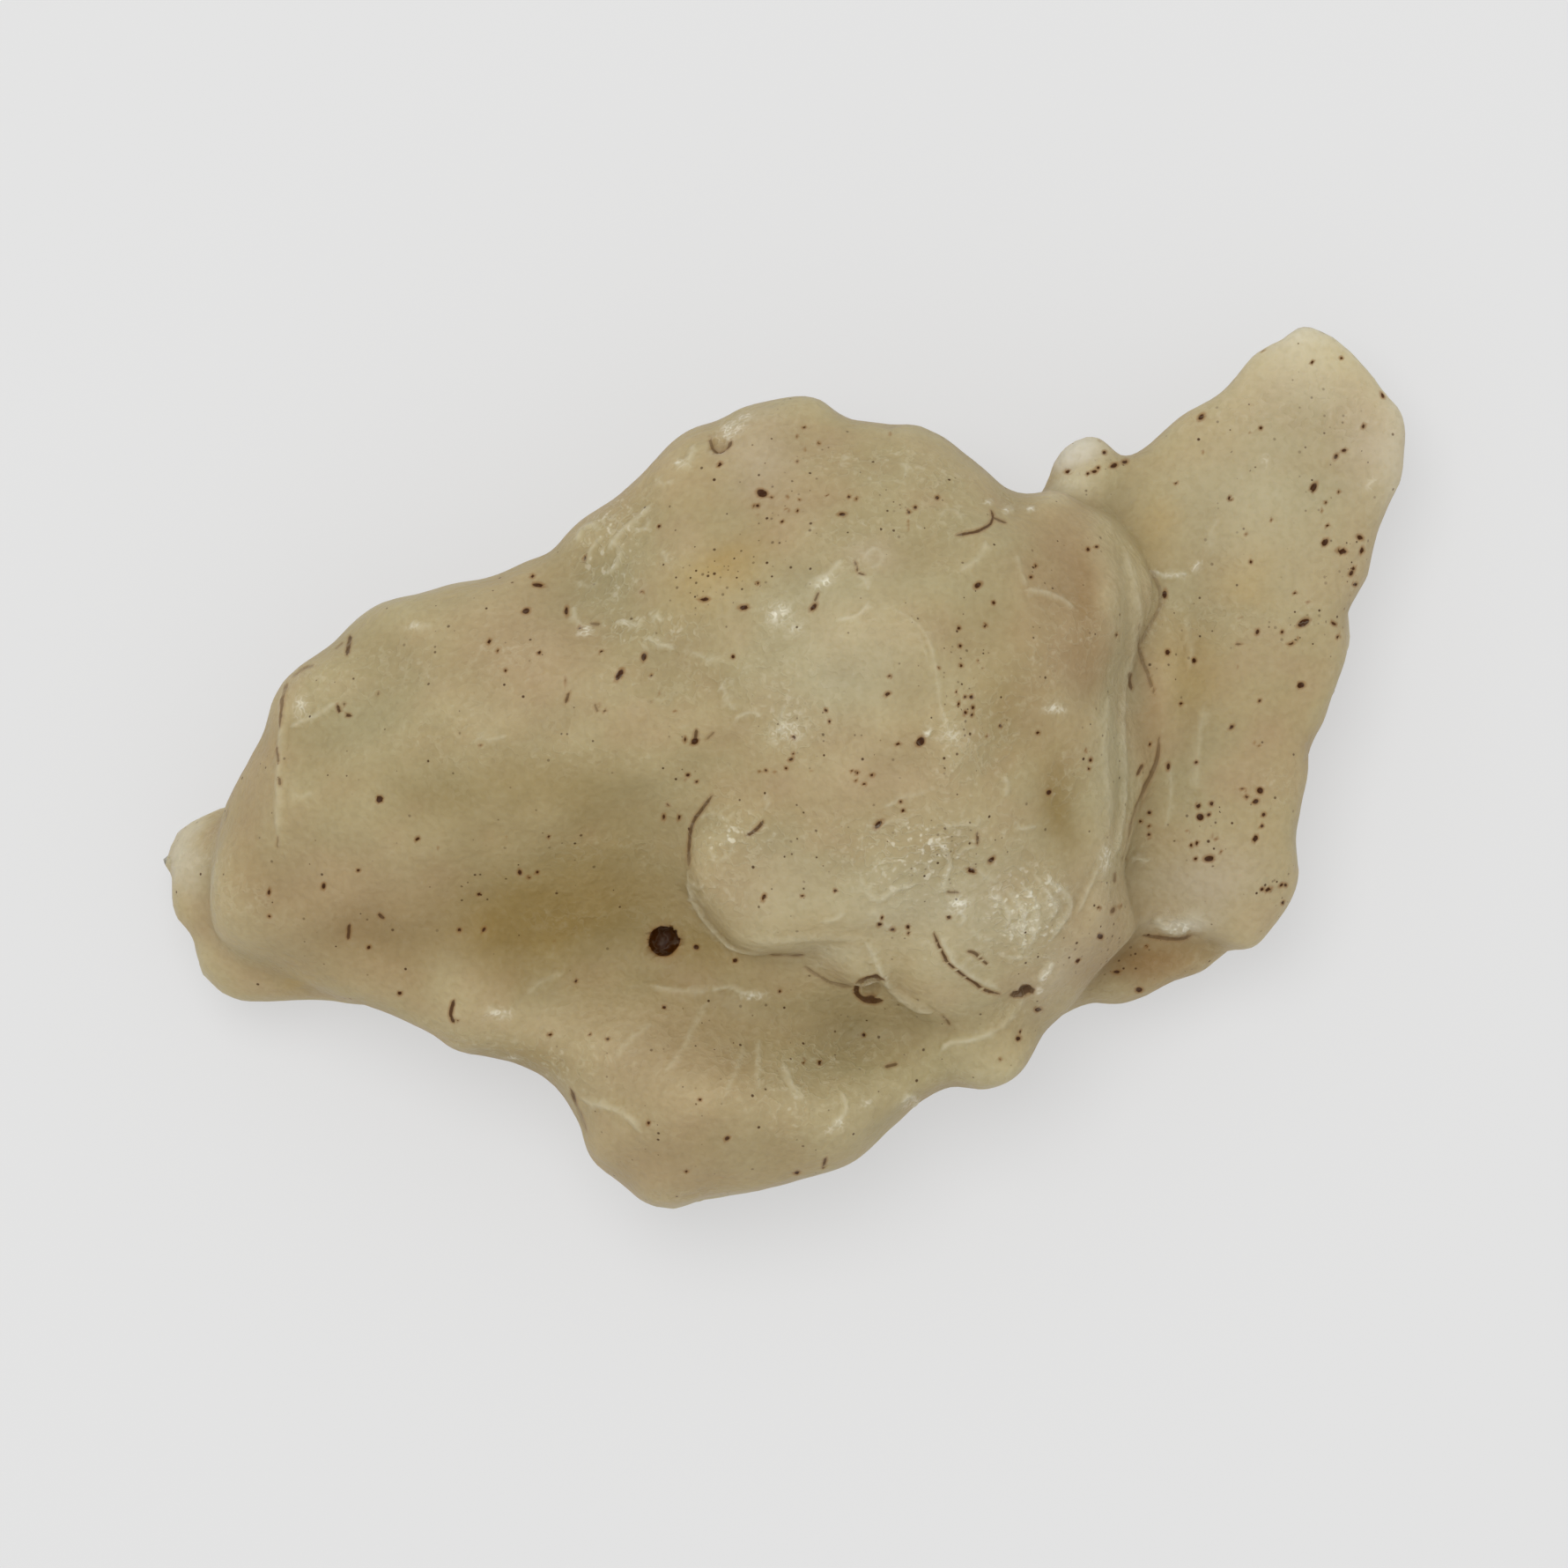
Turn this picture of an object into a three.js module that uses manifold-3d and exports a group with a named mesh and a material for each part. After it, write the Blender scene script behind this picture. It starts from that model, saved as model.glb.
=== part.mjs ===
// A specimen of desert glass: one wind-worn lump of natural silica glass, lying on its broad back.
// Millimetres, +Z up. The origin is on the flat patch that it rests on, below the middle of the lump.
//
// The lump is a handful of lobes grown into one another. Each lobe is a box of small faces that is
// rounded to an outline in plan (X, Y), with heights of its own above and below its rim. Hollows, swells
// and ridges are laid over the lobes, which are then joined into one solid. Two burst bubbles are cut
// into it, and its foot is cut flat where it rests.
import * as THREE from "three";
import { mergeVertices } from "three/addons/utils/BufferGeometryUtils.js";
import Module from "manifold-3d";

// Driving dimensions.
const REST_LEVEL = 0; // the flat patch under the lump
const CUT_SPAN = 90; // the block that cuts the patch is wider than the lump
const WAVE_RISE = 0.12; // half height of the wind-worn waves on every lobe
const RIM_SWAY = 4; // how much more the rim of a lobe rises and falls than its faces do
const SHOULDER = 0.92; // how far out of each lobe its upper and lower faces reach, before its side begins
const EDGE_FADE = 6; // how fast the turns of an outline fade from the rim inwards
const EDGE_REACH = 0.05; // the share of an outline, each way, that its smooth course is taken over
const EDGE_SAMPLES = 6; // the points, each way, that it is taken from

const GLASS = new THREE.MeshStandardMaterial({
  color: 0xb0a37c,
  roughness: 0.45,
  metalness: 0,
});

// Wind-worn waves: each is [waves per mm along X, along Y, phase, share of WAVE_RISE].
const WAVES = [
  [0.9, 0.5, 0.4, 1.0],
  [-0.6, 1.1, 2.1, 0.9],
  [1.5, -0.8, 4.0, 0.55],
  [0.7, 1.9, 5.2, 0.5],
  [2.3, 0.9, 1.3, 0.35],
  [-1.4, 2.2, 3.3, 0.35],
];

// Swells and hollows on the upper face of the body: Gaussian mounds, turned anticlockwise from X. One
// that is flat above 1 has a flatter top and steeper sides.
const BODY_SWELLS = [
  { name: "crown", at: [6.5, 4.5], reach: [8.5, 8.0], turn: 0, rise: 3.9 },
  { name: "brow shelf", at: [6.0, -2.0], reach: [6.0, 4.0], turn: 0, rise: 1.2 },
  { name: "left lobe", at: [-12.5, 3.0], reach: [9.0, 5.5], turn: 12, rise: 1.4 },
  { name: "valley", at: [-6.2, -7.8], reach: [9.5, 4.2], turn: -12, rise: -5.0 },
  { name: "valley mouth", at: [4.5, -11.2], reach: [6.5, 2.2], turn: 4, rise: -4.2 },
  { name: "left apron", at: [-18.0, -8.5], reach: [6.0, 4.0], turn: -20, rise: -2.4 },
  { name: "lower lobe", at: [-2.5, -14.5], reach: [6.0, 3.0], turn: -8, rise: 0.9 },
  { name: "brow side", at: [-6.0, -2.6], reach: [2.6, 3.0], turn: 0, rise: -1.1 },
  { name: "notch", at: [-9.5, 9.0], reach: [2.4, 3.0], turn: 40, rise: -1.4 },
  { name: "crest terrace", at: [0.5, 11.5], reach: [9.6, 6.0], turn: 0, rise: 0.6, flat: 4 },
  { name: "right flank", at: [16.2, 1.0], reach: [1.6, 10.0], turn: 0, rise: -3.5, flat: 2 },
];

// Swells on the underside of the body. The belly reaches below the rest level and is cut flat there.
const BODY_UNDER = [
  { name: "belly", at: [0.0, -0.5], reach: [11.0, 8.0], turn: 8, rise: -2.9 },
  { name: "left heel", at: [-16.0, -2.0], reach: [6.0, 5.0], turn: 20, rise: -0.9 },
  { name: "upper hollow", at: [-4.0, 10.0], reach: [7.0, 4.0], turn: 30, rise: 1.5 },
  { name: "lower hollow", at: [8.0, -9.0], reach: [6.0, 4.0], turn: -30, rise: 1.2 },
];

// Creases that stand proud of the face, along a line.
const BODY_RIDGES = [
  { name: "left facet edge", line: [[-22.6, 4.8], [-22.8, -2.6]], width: 0.9, rise: 0.5 },
  { name: "crown arc", line: [[3.8, 8.2], [6.4, 6.4], [7.4, 3.6], [7.6, 0.8]], width: 0.8, rise: 0.35 },
  { name: "crown arc beside", line: [[10.4, 8.8], [12.4, 8.2], [13.0, 6.8]], width: 0.7, rise: 0.35 },
  {
    name: "right shoulder",
    line: [[14.0, 11.2], [15.0, 7.6], [14.9, 2.0], [14.9, -3.6], [13.6, -7.4], [10.6, -10.4], [7.0, -11.9]],
    width: 0.8,
    rise: 0.9,
  },
  { name: "lower spur", line: [[-9.2, -13.8], [-6.2, -15.4]], width: 0.9, rise: 0.4 },
];

const FIN_SWELLS = [
  { name: "tip", at: [25.0, 18.0], reach: [5.0, 6.0], turn: 0, rise: -1.5 },
  { name: "groove", at: [18.4, 4.0], reach: [1.2, 8.0], turn: -8, rise: -0.6 },
  { name: "lower boss", at: [20.5, -4.0], reach: [3.5, 4.0], turn: 0, rise: 1.2 },
];
const FIN_UNDER = [
  { name: "tip", at: [25.0, 18.0], reach: [5.0, 6.0], turn: 0, rise: 1.2 },
  { name: "root", at: [17.5, 0.0], reach: [5.0, 8.0], turn: 0, rise: -1.0 },
];

// Each lobe: the middle its outline is drawn out from, the height of its rim there and its slope along X
// and Y, the heights its upper and lower faces would reach at full, and how square its section is: 2 is
// an ellipse, more is squarer.
// Outlines run anticlockwise from above, and every point is where the edge turns.
const LOBES = [
  {
    name: "body",
    middle: [2.2, 0.4],
    rim: 8.8,
    slope: [0.03, 0.06],
    top: 15.6,
    bottom: 1.6,
    square: 2.6,
    cut: { across: 32, down: 4 },
    swells: BODY_SWELLS,
    under: BODY_UNDER,
    ridges: BODY_RIDGES,
    outline: [
      [-25.4, -7.3], [-24.2, -8.0], [-22.4, -8.8], [-20.6, -9.6], [-19.0, -10.1], [-17.6, -10.6],
      [-16.0, -11.4], [-14.9, -12.2], [-13.6, -12.4], [-12.0, -12.8], [-10.8, -13.4], [-10.0, -14.3],
      [-9.3, -15.5], [-9.0, -16.5], [-8.5, -17.4], [-7.4, -18.2], [-6.5, -19.0], [-5.6, -19.3],
      [-4.6, -19.2], [-3.6, -18.8], [-1.6, -18.6], [0.4, -18.1], [2.2, -17.6], [3.3, -17.1],
      [4.4, -16.1], [6.0, -14.6], [6.8, -14.1], [7.7, -13.7], [8.4, -13.8], [9.2, -13.9], [10.3, -13.5],
      [11.0, -12.8], [11.5, -11.8], [12.0, -11.0], [12.6, -10.6], [13.5, -9.6], [14.2, -8.6],
      [15.2, -7.6], [16.0, -6.6], [15.8, -5.6], [15.4, -3.8], [15.9, -2.0], [16.4, -0.4], [16.8, 0.7],
      [17.0, 2.1], [16.4, 3.6], [15.9, 5.0], [16.0, 6.2], [16.5, 7.6], [16.7, 8.9], [16.4, 10.0],
      [15.8, 11.1], [14.9, 12.1], [13.6, 12.7], [12.3, 13.4], [11.6, 13.2], [10.8, 13.1], [9.9, 13.5],
      [9.3, 14.1], [8.4, 14.8], [7.3, 15.7], [6.2, 16.2], [5.4, 16.4], [4.9, 16.1], [4.4, 16.4],
      [3.1, 16.5], [2.2, 17.0], [1.6, 17.5], [0.4, 17.6], [-0.6, 17.4], [-1.9, 17.1], [-2.9, 16.5],
      [-4.1, 16.2], [-5.1, 15.5], [-6.1, 14.4], [-7.5, 13.1], [-9.2, 12.0], [-10.0, 11.2], [-10.4, 10.6],
      [-11.7, 10.1], [-12.7, 9.6], [-13.6, 9.3], [-15.0, 9.1], [-16.2, 8.7], [-17.7, 8.4], [-18.6, 8.1],
      [-19.6, 7.3], [-20.5, 6.4], [-21.5, 5.7], [-22.4, 5.0], [-23.0, 4.2], [-23.4, 3.3], [-23.6, 2.3],
      [-24.4, 1.0], [-25.0, -0.1], [-25.4, -0.9], [-25.7, -2.0], [-25.9, -3.4], [-26.1, -5.0],
      [-26.0, -6.4],
    ],
  },
  {
    name: "fin",
    middle: [20.5, 8.0],
    rim: 6.2,
    slope: [0.02, -0.01],
    top: 9.0,
    bottom: 3.0,
    square: 3.0,
    cut: { across: 18, down: 4 },
    swells: FIN_SWELLS,
    under: FIN_UNDER,
    outline: [
      [15.2, 14.7], [14.0, 14.0], [12.4, 11.6], [10.4, 7.6], [10.4, 1.6], [12.4, -4.4], [15.4, -7.1],
      [16.6, -6.8], [17.6, -7.0], [18.4, -6.9], [19.4, -7.2], [20.4, -7.5], [21.3, -7.6], [22.4, -6.4],
      [23.2, -5.2], [23.5, -4.0], [23.3, -2.5], [23.6, -0.9], [23.9, 0.6], [23.9, 1.7], [24.6, 2.7],
      [25.0, 4.1], [25.5, 5.3], [25.8, 6.6], [25.6, 7.6], [26.2, 8.7], [26.7, 9.6], [27.0, 11.2],
      [27.5, 12.5], [28.1, 13.8], [28.3, 15.0], [28.4, 16.1], [28.3, 16.8], [27.7, 17.6], [26.5, 19.1],
      [25.6, 20.1], [24.4, 20.8], [23.6, 21.0], [22.7, 20.3], [22.0, 20.0], [21.4, 19.6], [20.7, 18.7],
      [20.0, 17.9], [19.2, 17.4], [18.1, 16.8], [17.2, 16.0], [16.3, 15.2],
    ],
  },
  {
    name: "fin bud",
    middle: [14.0, 13.6],
    rim: 6.8,
    top: 8.6,
    bottom: 4.6,
    square: 2.4,
    cut: { across: 6, down: 2 },
    outline: [
      [12.4, 12.0], [14.0, 11.6], [15.8, 12.4], [15.8, 14.4], [15.1, 15.1], [14.6, 15.7], [14.1, 15.9],
      [13.3, 15.7], [12.6, 15.2], [12.2, 14.4], [11.9, 13.4],
    ],
  },
  {
    name: "right foot",
    middle: [15.0, -6.0],
    rim: 4.4,
    top: 7.0,
    bottom: 0.9,
    square: 2.3,
    cut: { across: 10, down: 3 },
    outline: [
      [13.1, -10.4], [14.0, -10.0], [15.1, -10.1], [16.4, -9.8], [17.8, -9.0], [19.0, -8.7],
      [19.8, -8.0], [20.4, -7.5], [20.6, -5.4], [19.4, -3.0], [15.6, -1.6], [11.6, -2.6],
      [9.4, -6.0], [10.0, -9.6], [11.8, -10.9],
    ],
  },
  {
    name: "left foot",
    middle: [-21.5, -5.6],
    rim: 5.0,
    slope: [0.08, 0],
    top: 8.0,
    bottom: 1.8,
    square: 2.3,
    cut: { across: 12, down: 3 },
    outline: [
      [-26.5, -1.4], [-27.4, -1.8], [-27.8, -2.4], [-28.1, -3.0], [-28.1, -3.8], [-28.0, -4.8],
      [-28.0, -5.7], [-27.6, -6.4], [-27.0, -6.9], [-26.9, -7.8], [-26.6, -8.6], [-25.9, -9.4],
      [-25.4, -9.8], [-24.2, -10.0], [-21.2, -9.9], [-18.4, -10.1], [-15.4, -8.8], [-14.6, -5.6],
      [-16.6, -2.4], [-20.6, -1.0], [-24.6, -0.8],
    ],
  },
  {
    name: "brow",
    middle: [2.0, -2.0],
    rim: 14.4,
    slope: [0.0, 0.3],
    top: 17.6,
    bottom: 11.0,
    square: 2.6,
    cut: { across: 14, down: 3 },
    outline: [
      [-3.3, -0.5], [-4.2, -2.2], [-4.3, -3.4], [-4.1, -4.8], [-3.6, -5.8], [-2.8, -6.8],
      [-2.0, -7.4], [-0.8, -7.6], [0.6, -7.6], [1.6, -7.7], [3.4, -7.2], [5.6, -6.2], [8.0, -4.0],
      [9.0, 0.0], [6.0, 3.5], [2.0, 4.2], [-1.2, 2.6], [-2.6, 0.8],
    ],
  },
  {
    name: "lip",
    middle: [3.0, -6.6],
    rim: 12.8,
    top: 15.2,
    bottom: 9.0,
    square: 2.4,
    cut: { across: 6, down: 2 },
    outline: [
      [1.0, -4.0], [-0.5, -6.6], [0.4, -7.5], [1.9, -8.3], [2.8, -8.9], [3.6, -9.2], [4.6, -9.0],
      [5.6, -8.0], [6.4, -5.6], [4.0, -3.6],
    ],
  },
  {
    name: "chin",
    middle: [8.2, -5.2],
    rim: 13.2,
    slope: [-0.05, 0.1],
    top: 16.5,
    bottom: 9.0,
    square: 2.4,
    cut: { across: 12, down: 3 },
    outline: [
      [3.8, -6.8], [4.2, -8.0], [4.8, -9.2], [5.6, -9.9], [6.8, -10.3], [8.0, -10.4], [9.4, -10.1],
      [10.6, -9.6], [11.6, -9.0], [12.6, -7.8], [13.2, -5.6], [12.8, -2.8], [11.0, 0.4], [8.0, 1.0],
      [5.0, -1.0], [3.8, -4.0],
    ],
  },
];

// Burst bubbles: open pits in the glass, each a ball whose middle is sunk below the face.
const BUBBLES = [
  { name: "round bubble", at: [-5.5, -7.1], radius: 0.85, sunk: 0.35 },
  { name: "slit bubble", at: [3.8, -9.2], radius: 0.8, sunk: 0.3 },
];

// The height that a turned Gaussian mound adds at a point.
function swellHeight({ at, reach, turn, rise, flat = 1 }, x, y) {
  const offset = new THREE.Vector2(x - at[0], y - at[1]);
  offset.rotateAround(new THREE.Vector2(), -THREE.MathUtils.degToRad(turn));
  const apart = (offset.x / reach[0]) ** 2 + (offset.y / reach[1]) ** 2;
  return rise * Math.exp(-(apart ** flat));
}

// The height that a ridge adds: a Gaussian of the distance to its line.
function ridgeHeight(ridge, x, y) {
  const point = new THREE.Vector3(x, y, 0);
  const nearest = new THREE.Vector3();
  let gap = Infinity;
  for (let i = 1; i < ridge.line.length; i++) {
    const segment = new THREE.Line3(
      new THREE.Vector3(...ridge.line[i - 1], 0),
      new THREE.Vector3(...ridge.line[i], 0),
    );
    segment.closestPointToPoint(point, true, nearest);
    gap = Math.min(gap, nearest.distanceTo(point));
  }
  return ridge.rise * Math.exp(-((gap / ridge.width) ** 2));
}

// The wind-worn waves at a point: a sum of sines that never quite repeats.
function waveHeight(x, y) {
  return WAVES.reduce(
    (sum, [kx, ky, phase, share]) => sum + WAVE_RISE * share * Math.sin(kx * x + ky * y + phase),
    0,
  );
}

// The height of a lobe's rim at a point.
function rimHeight({ middle, rim, slope = [0, 0] }, x, y) {
  const sway = RIM_SWAY * waveHeight(0.6 * x, 0.6 * y);
  return rim + slope[0] * (x - middle[0]) + slope[1] * (y - middle[1]) + sway;
}

// The height that a lobe's upper or lower face would reach at a point, were it not drawn in to its rim.
function faceHeight({ top, bottom, swells = [], under = [], ridges = [] }, x, y, upper) {
  const mounds = (upper ? swells : under).reduce((sum, s) => sum + swellHeight(s, x, y), 0);
  if (!upper) return bottom + mounds - waveHeight(y, x);
  return top + mounds + waveHeight(x, y) + ridges.reduce((sum, r) => sum + ridgeHeight(r, x, y), 0);
}

// The smooth course of a closed outline: the mean of the points on either side of a place on it.
function smoothPoint(edge, place) {
  const mean = new THREE.Vector3();
  for (let i = -EDGE_SAMPLES; i <= EDGE_SAMPLES; i++) {
    const beside = place + (EDGE_REACH * i) / EDGE_SAMPLES;
    mean.add(edge.getPointAt(THREE.MathUtils.euclideanModulo(beside, 1)));
  }
  return mean.divideScalar(2 * EDGE_SAMPLES + 1);
}

// Where a point of the box from -1 to 1 goes round an outline, as a share of one turn.
function placeRound(x, y) {
  if (x === 0 && y === 0) return 0;
  const eighths = Math.abs(x) >= Math.abs(y) ? y / x : 2 - x / y;
  const behind = Math.abs(x) >= Math.abs(y) ? x < 0 : y < 0;
  return THREE.MathUtils.euclideanModulo(eighths / 8 + (behind ? 0.5 : 0), 1);
}

// How far a point of the box from -1 to 1 has fallen round a lobe: 0 is its top, PI its underside.
function fallDown(square, x, y, z) {
  const out = SHOULDER * Math.max(Math.abs(x), Math.abs(y));
  const fall = Math.asin(out ** (square / 2));
  return THREE.MathUtils.mapLinear(z, 1, -1, fall, Math.PI - fall);
}

// A lobe's solid. Each point of the box goes to a place on the outline, and falls from the top of the
// lobe to its underside. The fall draws it in to the middle and lifts or drops it, as a superellipse:
// share out ^ n + share up ^ n = 1. The turns of the outline fade inwards, so that they don't run up
// the lobe as ribs.
function lobeGeometry(lobe) {
  const { across, down } = lobe.cut;
  const box = new THREE.BoxGeometry(2, 2, 2, across, across, down);
  const corners = lobe.outline.map(([x, y]) => new THREE.Vector3(x, y, 0));
  const edge = new THREE.CatmullRomCurve3(corners, true, "centripetal");
  const middle = new THREE.Vector3(...lobe.middle, 0);
  const position = box.getAttribute("position");
  const corner = new THREE.Vector3();
  for (let i = 0; i < position.count; i++) {
    corner.fromBufferAttribute(position, i);
    const place = placeRound(corner.x, corner.y);
    const fall = fallDown(lobe.square, corner.x, corner.y, corner.z);
    const out = Math.sin(fall) ** (2 / lobe.square);
    const up = Math.abs(Math.cos(fall)) ** (2 / lobe.square);
    const smooth = smoothPoint(edge, place);
    const turns = edge.getPointAt(place).sub(smooth).multiplyScalar(out ** EDGE_FADE);
    const { x, y } = middle.clone().lerp(smooth, out).add(turns);
    const full = faceHeight(lobe, x, y, fall <= Math.PI / 2);
    position.setXYZ(i, x, y, THREE.MathUtils.lerp(rimHeight(lobe, x, y), full, up));
  }
  return box;
}

// manifold-3d joins and cuts the closed meshes.
const wasm = await Module();
wasm.setup();

// A closed geometry as a manifold-3d solid, its shared vertices merged.
function solidOf(geometry) {
  geometry.deleteAttribute("normal");
  geometry.deleteAttribute("uv");
  const merged = mergeVertices(geometry, 1e-4);
  const vertProperties = merged.getAttribute("position").array;
  return new wasm.Manifold(
    new wasm.Mesh({ numProp: 3, vertProperties, triVerts: new Uint32Array(merged.index.array) }),
  );
}

// A manifold-3d solid as a geometry.
function geometryOf(solid) {
  const mesh = solid.getMesh();
  const geometry = new THREE.BufferGeometry();
  geometry.setAttribute("position", new THREE.BufferAttribute(mesh.vertProperties, 3));
  geometry.setIndex(new THREE.BufferAttribute(mesh.triVerts, 1));
  geometry.computeVertexNormals();
  return geometry;
}

// The height of a solid's upper face at a point in plan.
function topOf(solid, x, y) {
  const mesh = new THREE.Mesh(geometryOf(solid), GLASS);
  const above = new THREE.Vector3(x, y, CUT_SPAN);
  const [hit] = new THREE.Raycaster(above, new THREE.Vector3(0, 0, -1)).intersectObject(mesh);
  return hit.point.z;
}

// A burst bubble as a ball to cut away.
function bubbleSolid(solid, { at, radius, sunk }) {
  const ball = new THREE.SphereGeometry(radius, 12, 8);
  return solidOf(ball.translate(...at, topOf(solid, ...at) - sunk));
}

// The block whose top face cuts the flat patch that the lump rests on.
function floorBlock() {
  const block = new THREE.BoxGeometry(CUT_SPAN, CUT_SPAN, CUT_SPAN);
  return solidOf(block.translate(0, 0, REST_LEVEL - CUT_SPAN / 2));
}

const joined = LOBES.map((lobe) => solidOf(lobeGeometry(lobe))).reduce((a, b) => a.add(b));
const pitted = BUBBLES.reduce((solid, bubble) => solid.subtract(bubbleSolid(solid, bubble)), joined);
const lump = new THREE.Mesh(geometryOf(pitted.subtract(floorBlock())), GLASS);
lump.name = "desert_glass";

const specimen = new THREE.Group();
specimen.add(lump);

export default specimen;
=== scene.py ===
"""A specimen of desert glass: one wind-worn lump of natural silica glass, lying on its broad back.

The lump is a handful of lobes grown into one another. Each lobe is a closed surface of two parameters,
the place round its outline and the fall from its top to its underside. The lobes are fused into one
skin, which is then worn: wind dimples, wrinkles, hair cracks, pits, bruises and four burst bubbles.
The glass is cloudy and frosted, with brown dust in its pits.

Lengths are in millimetres up to the finished skin, which is brought to metres at the end.
"""

import logging
import math
from dataclasses import dataclass
from enum import Enum

import bpy
import numpy as np
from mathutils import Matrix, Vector


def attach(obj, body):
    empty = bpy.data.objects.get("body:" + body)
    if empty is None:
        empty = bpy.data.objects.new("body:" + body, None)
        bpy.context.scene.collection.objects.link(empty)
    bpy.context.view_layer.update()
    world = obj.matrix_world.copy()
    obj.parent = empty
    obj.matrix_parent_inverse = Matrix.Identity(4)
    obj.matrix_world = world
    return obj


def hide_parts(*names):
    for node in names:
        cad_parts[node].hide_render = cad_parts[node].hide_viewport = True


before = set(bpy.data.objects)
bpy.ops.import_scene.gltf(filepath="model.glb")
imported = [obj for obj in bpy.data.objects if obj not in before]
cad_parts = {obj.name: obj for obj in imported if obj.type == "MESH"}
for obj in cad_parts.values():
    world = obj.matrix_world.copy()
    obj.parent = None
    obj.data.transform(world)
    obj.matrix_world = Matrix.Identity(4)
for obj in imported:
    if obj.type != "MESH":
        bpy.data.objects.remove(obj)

Array = np.ndarray
Point = tuple[float, float]
Colour = tuple[float, float, float]
Spread = tuple[float, float, float, float]  # from, to, and the values there and there
Socket = bpy.types.NodeSocket

LOG = logging.getLogger("desert_glass")
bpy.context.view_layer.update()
METRES = 0.001  # one millimetre
TINY = 1e-9  # a length that is as good as nothing
TINY_AREA = 1e-12
NODE = "desert_glass"
BODY = "root"


# ----------------------
# Lines and reliefs in plan


def closed_curve(corners: Array, per_span: int = 16) -> Array:
    """Carries a smooth closed line through corners.

    Between two corners the line is the cubic that passes through both and leaves each along the chord
    between that corner's neighbours.

    Args:
        corners: points in plan, shape (n, 2).
        per_span: points worked out between two corners.

    Returns:
        Points of the line, shape (n * per_span, 2).
    """
    before, start = np.roll(corners, 1, axis=0), corners
    end, after = np.roll(corners, -1, axis=0), np.roll(corners, -2, axis=0)
    t = (np.arange(per_span) / per_span)[None, :, None]
    slope = (end - before)[:, None]
    bend = (2 * before - 5 * start + 4 * end - after)[:, None]
    twist = (3 * start - before - 3 * end + after)[:, None]
    points = start[:, None] + 0.5 * (slope * t + bend * t**2 + twist * t**3)
    return points.reshape(-1, 2)


def evenly(line: Array, count: int) -> Array:
    """Places count points at even distances along a closed line.

    Args:
        line: points of the closed line, shape (n, 2).
        count: how many points to place.

    Returns:
        The points, shape (count, 2).
    """
    closed = np.vstack([line, line[:1]])
    gone = np.concatenate([[0.0], np.cumsum(np.linalg.norm(np.diff(closed, axis=0), axis=1))])
    stops = np.arange(count) / count * gone[-1]
    return np.column_stack([np.interp(stops, gone, closed[:, axis]) for axis in (0, 1)])


def smooth_course(line: Array, reach: float) -> Array:
    """The smooth course of a closed line: the mean of its points within reach on either side.

    Args:
        line: evenly spaced points of the closed line, shape (n, 2).
        reach: the share of the line, each way, that the mean is taken over.

    Returns:
        One point for each point of the line, shape (n, 2).
    """
    window = max(1, round(reach * len(line)))
    return np.mean([np.roll(line, step, axis=0) for step in range(-window, window + 1)], axis=0)


def open_curve(corners: tuple[Point, ...], per_span: int = 4) -> Array:
    """Carries a smooth open line through corners, by the same cubics as a closed one.

    Args:
        corners: the points that the line passes through.
        per_span: points worked out between two corners.

    Returns:
        Points of the line, from its first corner to its last.
    """
    held = np.array([corners[0], *corners, corners[-1]])
    return closed_curve(held, per_span)[per_span : -2 * per_span + 1]


def gap_to_line(x: Array, y: Array, line: Array | tuple[Point, ...]) -> tuple[Array, Array]:
    """The distance in plan from points to an open line of straight stretches.

    Args:
        x: the points' X.
        y: the points' Y.
        line: the line's points.

    Returns:
        The distances, and how far along the line the nearest place lies, from 0 to 1, both in x's shape.
    """
    line = np.asarray(line, dtype=float)
    steps = np.diff(line, axis=0)
    lengths = np.maximum(np.linalg.norm(steps, axis=1), TINY)
    done = np.concatenate([[0.0], np.cumsum(lengths)])
    nearest, along = np.full(x.shape, np.inf), np.zeros(x.shape)
    for (x0, y0), (dx, dy), length, before in zip(line, steps, lengths, done):
        part = np.clip(((x - x0) * dx + (y - y0) * dy) / length**2, 0, 1)
        gap = np.hypot(x - x0 - part * dx, y - y0 - part * dy)
        along = np.where(gap < nearest, (before + part * length) / done[-1], along)
        nearest = np.minimum(nearest, gap)
    return nearest, along


@dataclass(frozen=True)
class Mound:
    """A turned Gaussian mound, or a hollow where its rise is less than nothing."""

    name: str
    at: Point
    reach: Point
    rise: float
    turn: float = 0.0
    flat: float = 1.0  # 1 is a plain Gaussian, more has a flat top and steeper sides

    def height(self, x: Array, y: Array) -> Array:
        """The height at a point: rise times e to the minus (ellipse distance squared) to the power flat.

        Args:
            x: the points' X.
            y: the points' Y.

        Returns:
            The heights, in the shape of x.
        """
        turn = math.radians(self.turn)
        dx, dy = x - self.at[0], y - self.at[1]
        along = (dx * math.cos(turn) + dy * math.sin(turn)) / self.reach[0]
        across = (dy * math.cos(turn) - dx * math.sin(turn)) / self.reach[1]
        return self.rise * np.exp(-((along**2 + across**2) ** self.flat))


def mounds(*rows: tuple) -> tuple[Mound, ...]:
    """Mounds of rows that give name, middle, reach, rise, turn and flatness."""
    return tuple(Mound(*row) for row in rows)


@dataclass(frozen=True)
class Ridge:
    """A crease along a line, proud of the face, or sunk where its rise is less than nothing."""

    name: str
    line: tuple[Point, ...]
    width: float
    rise: float

    def height(self, x: Array, y: Array) -> Array:
        """The height at a point: rise times e to the minus (distance over width) squared."""
        return self.rise * np.exp(-((gap_to_line(x, y, self.line)[0] / self.width) ** 2))


Relief = Mound | Ridge


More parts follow.
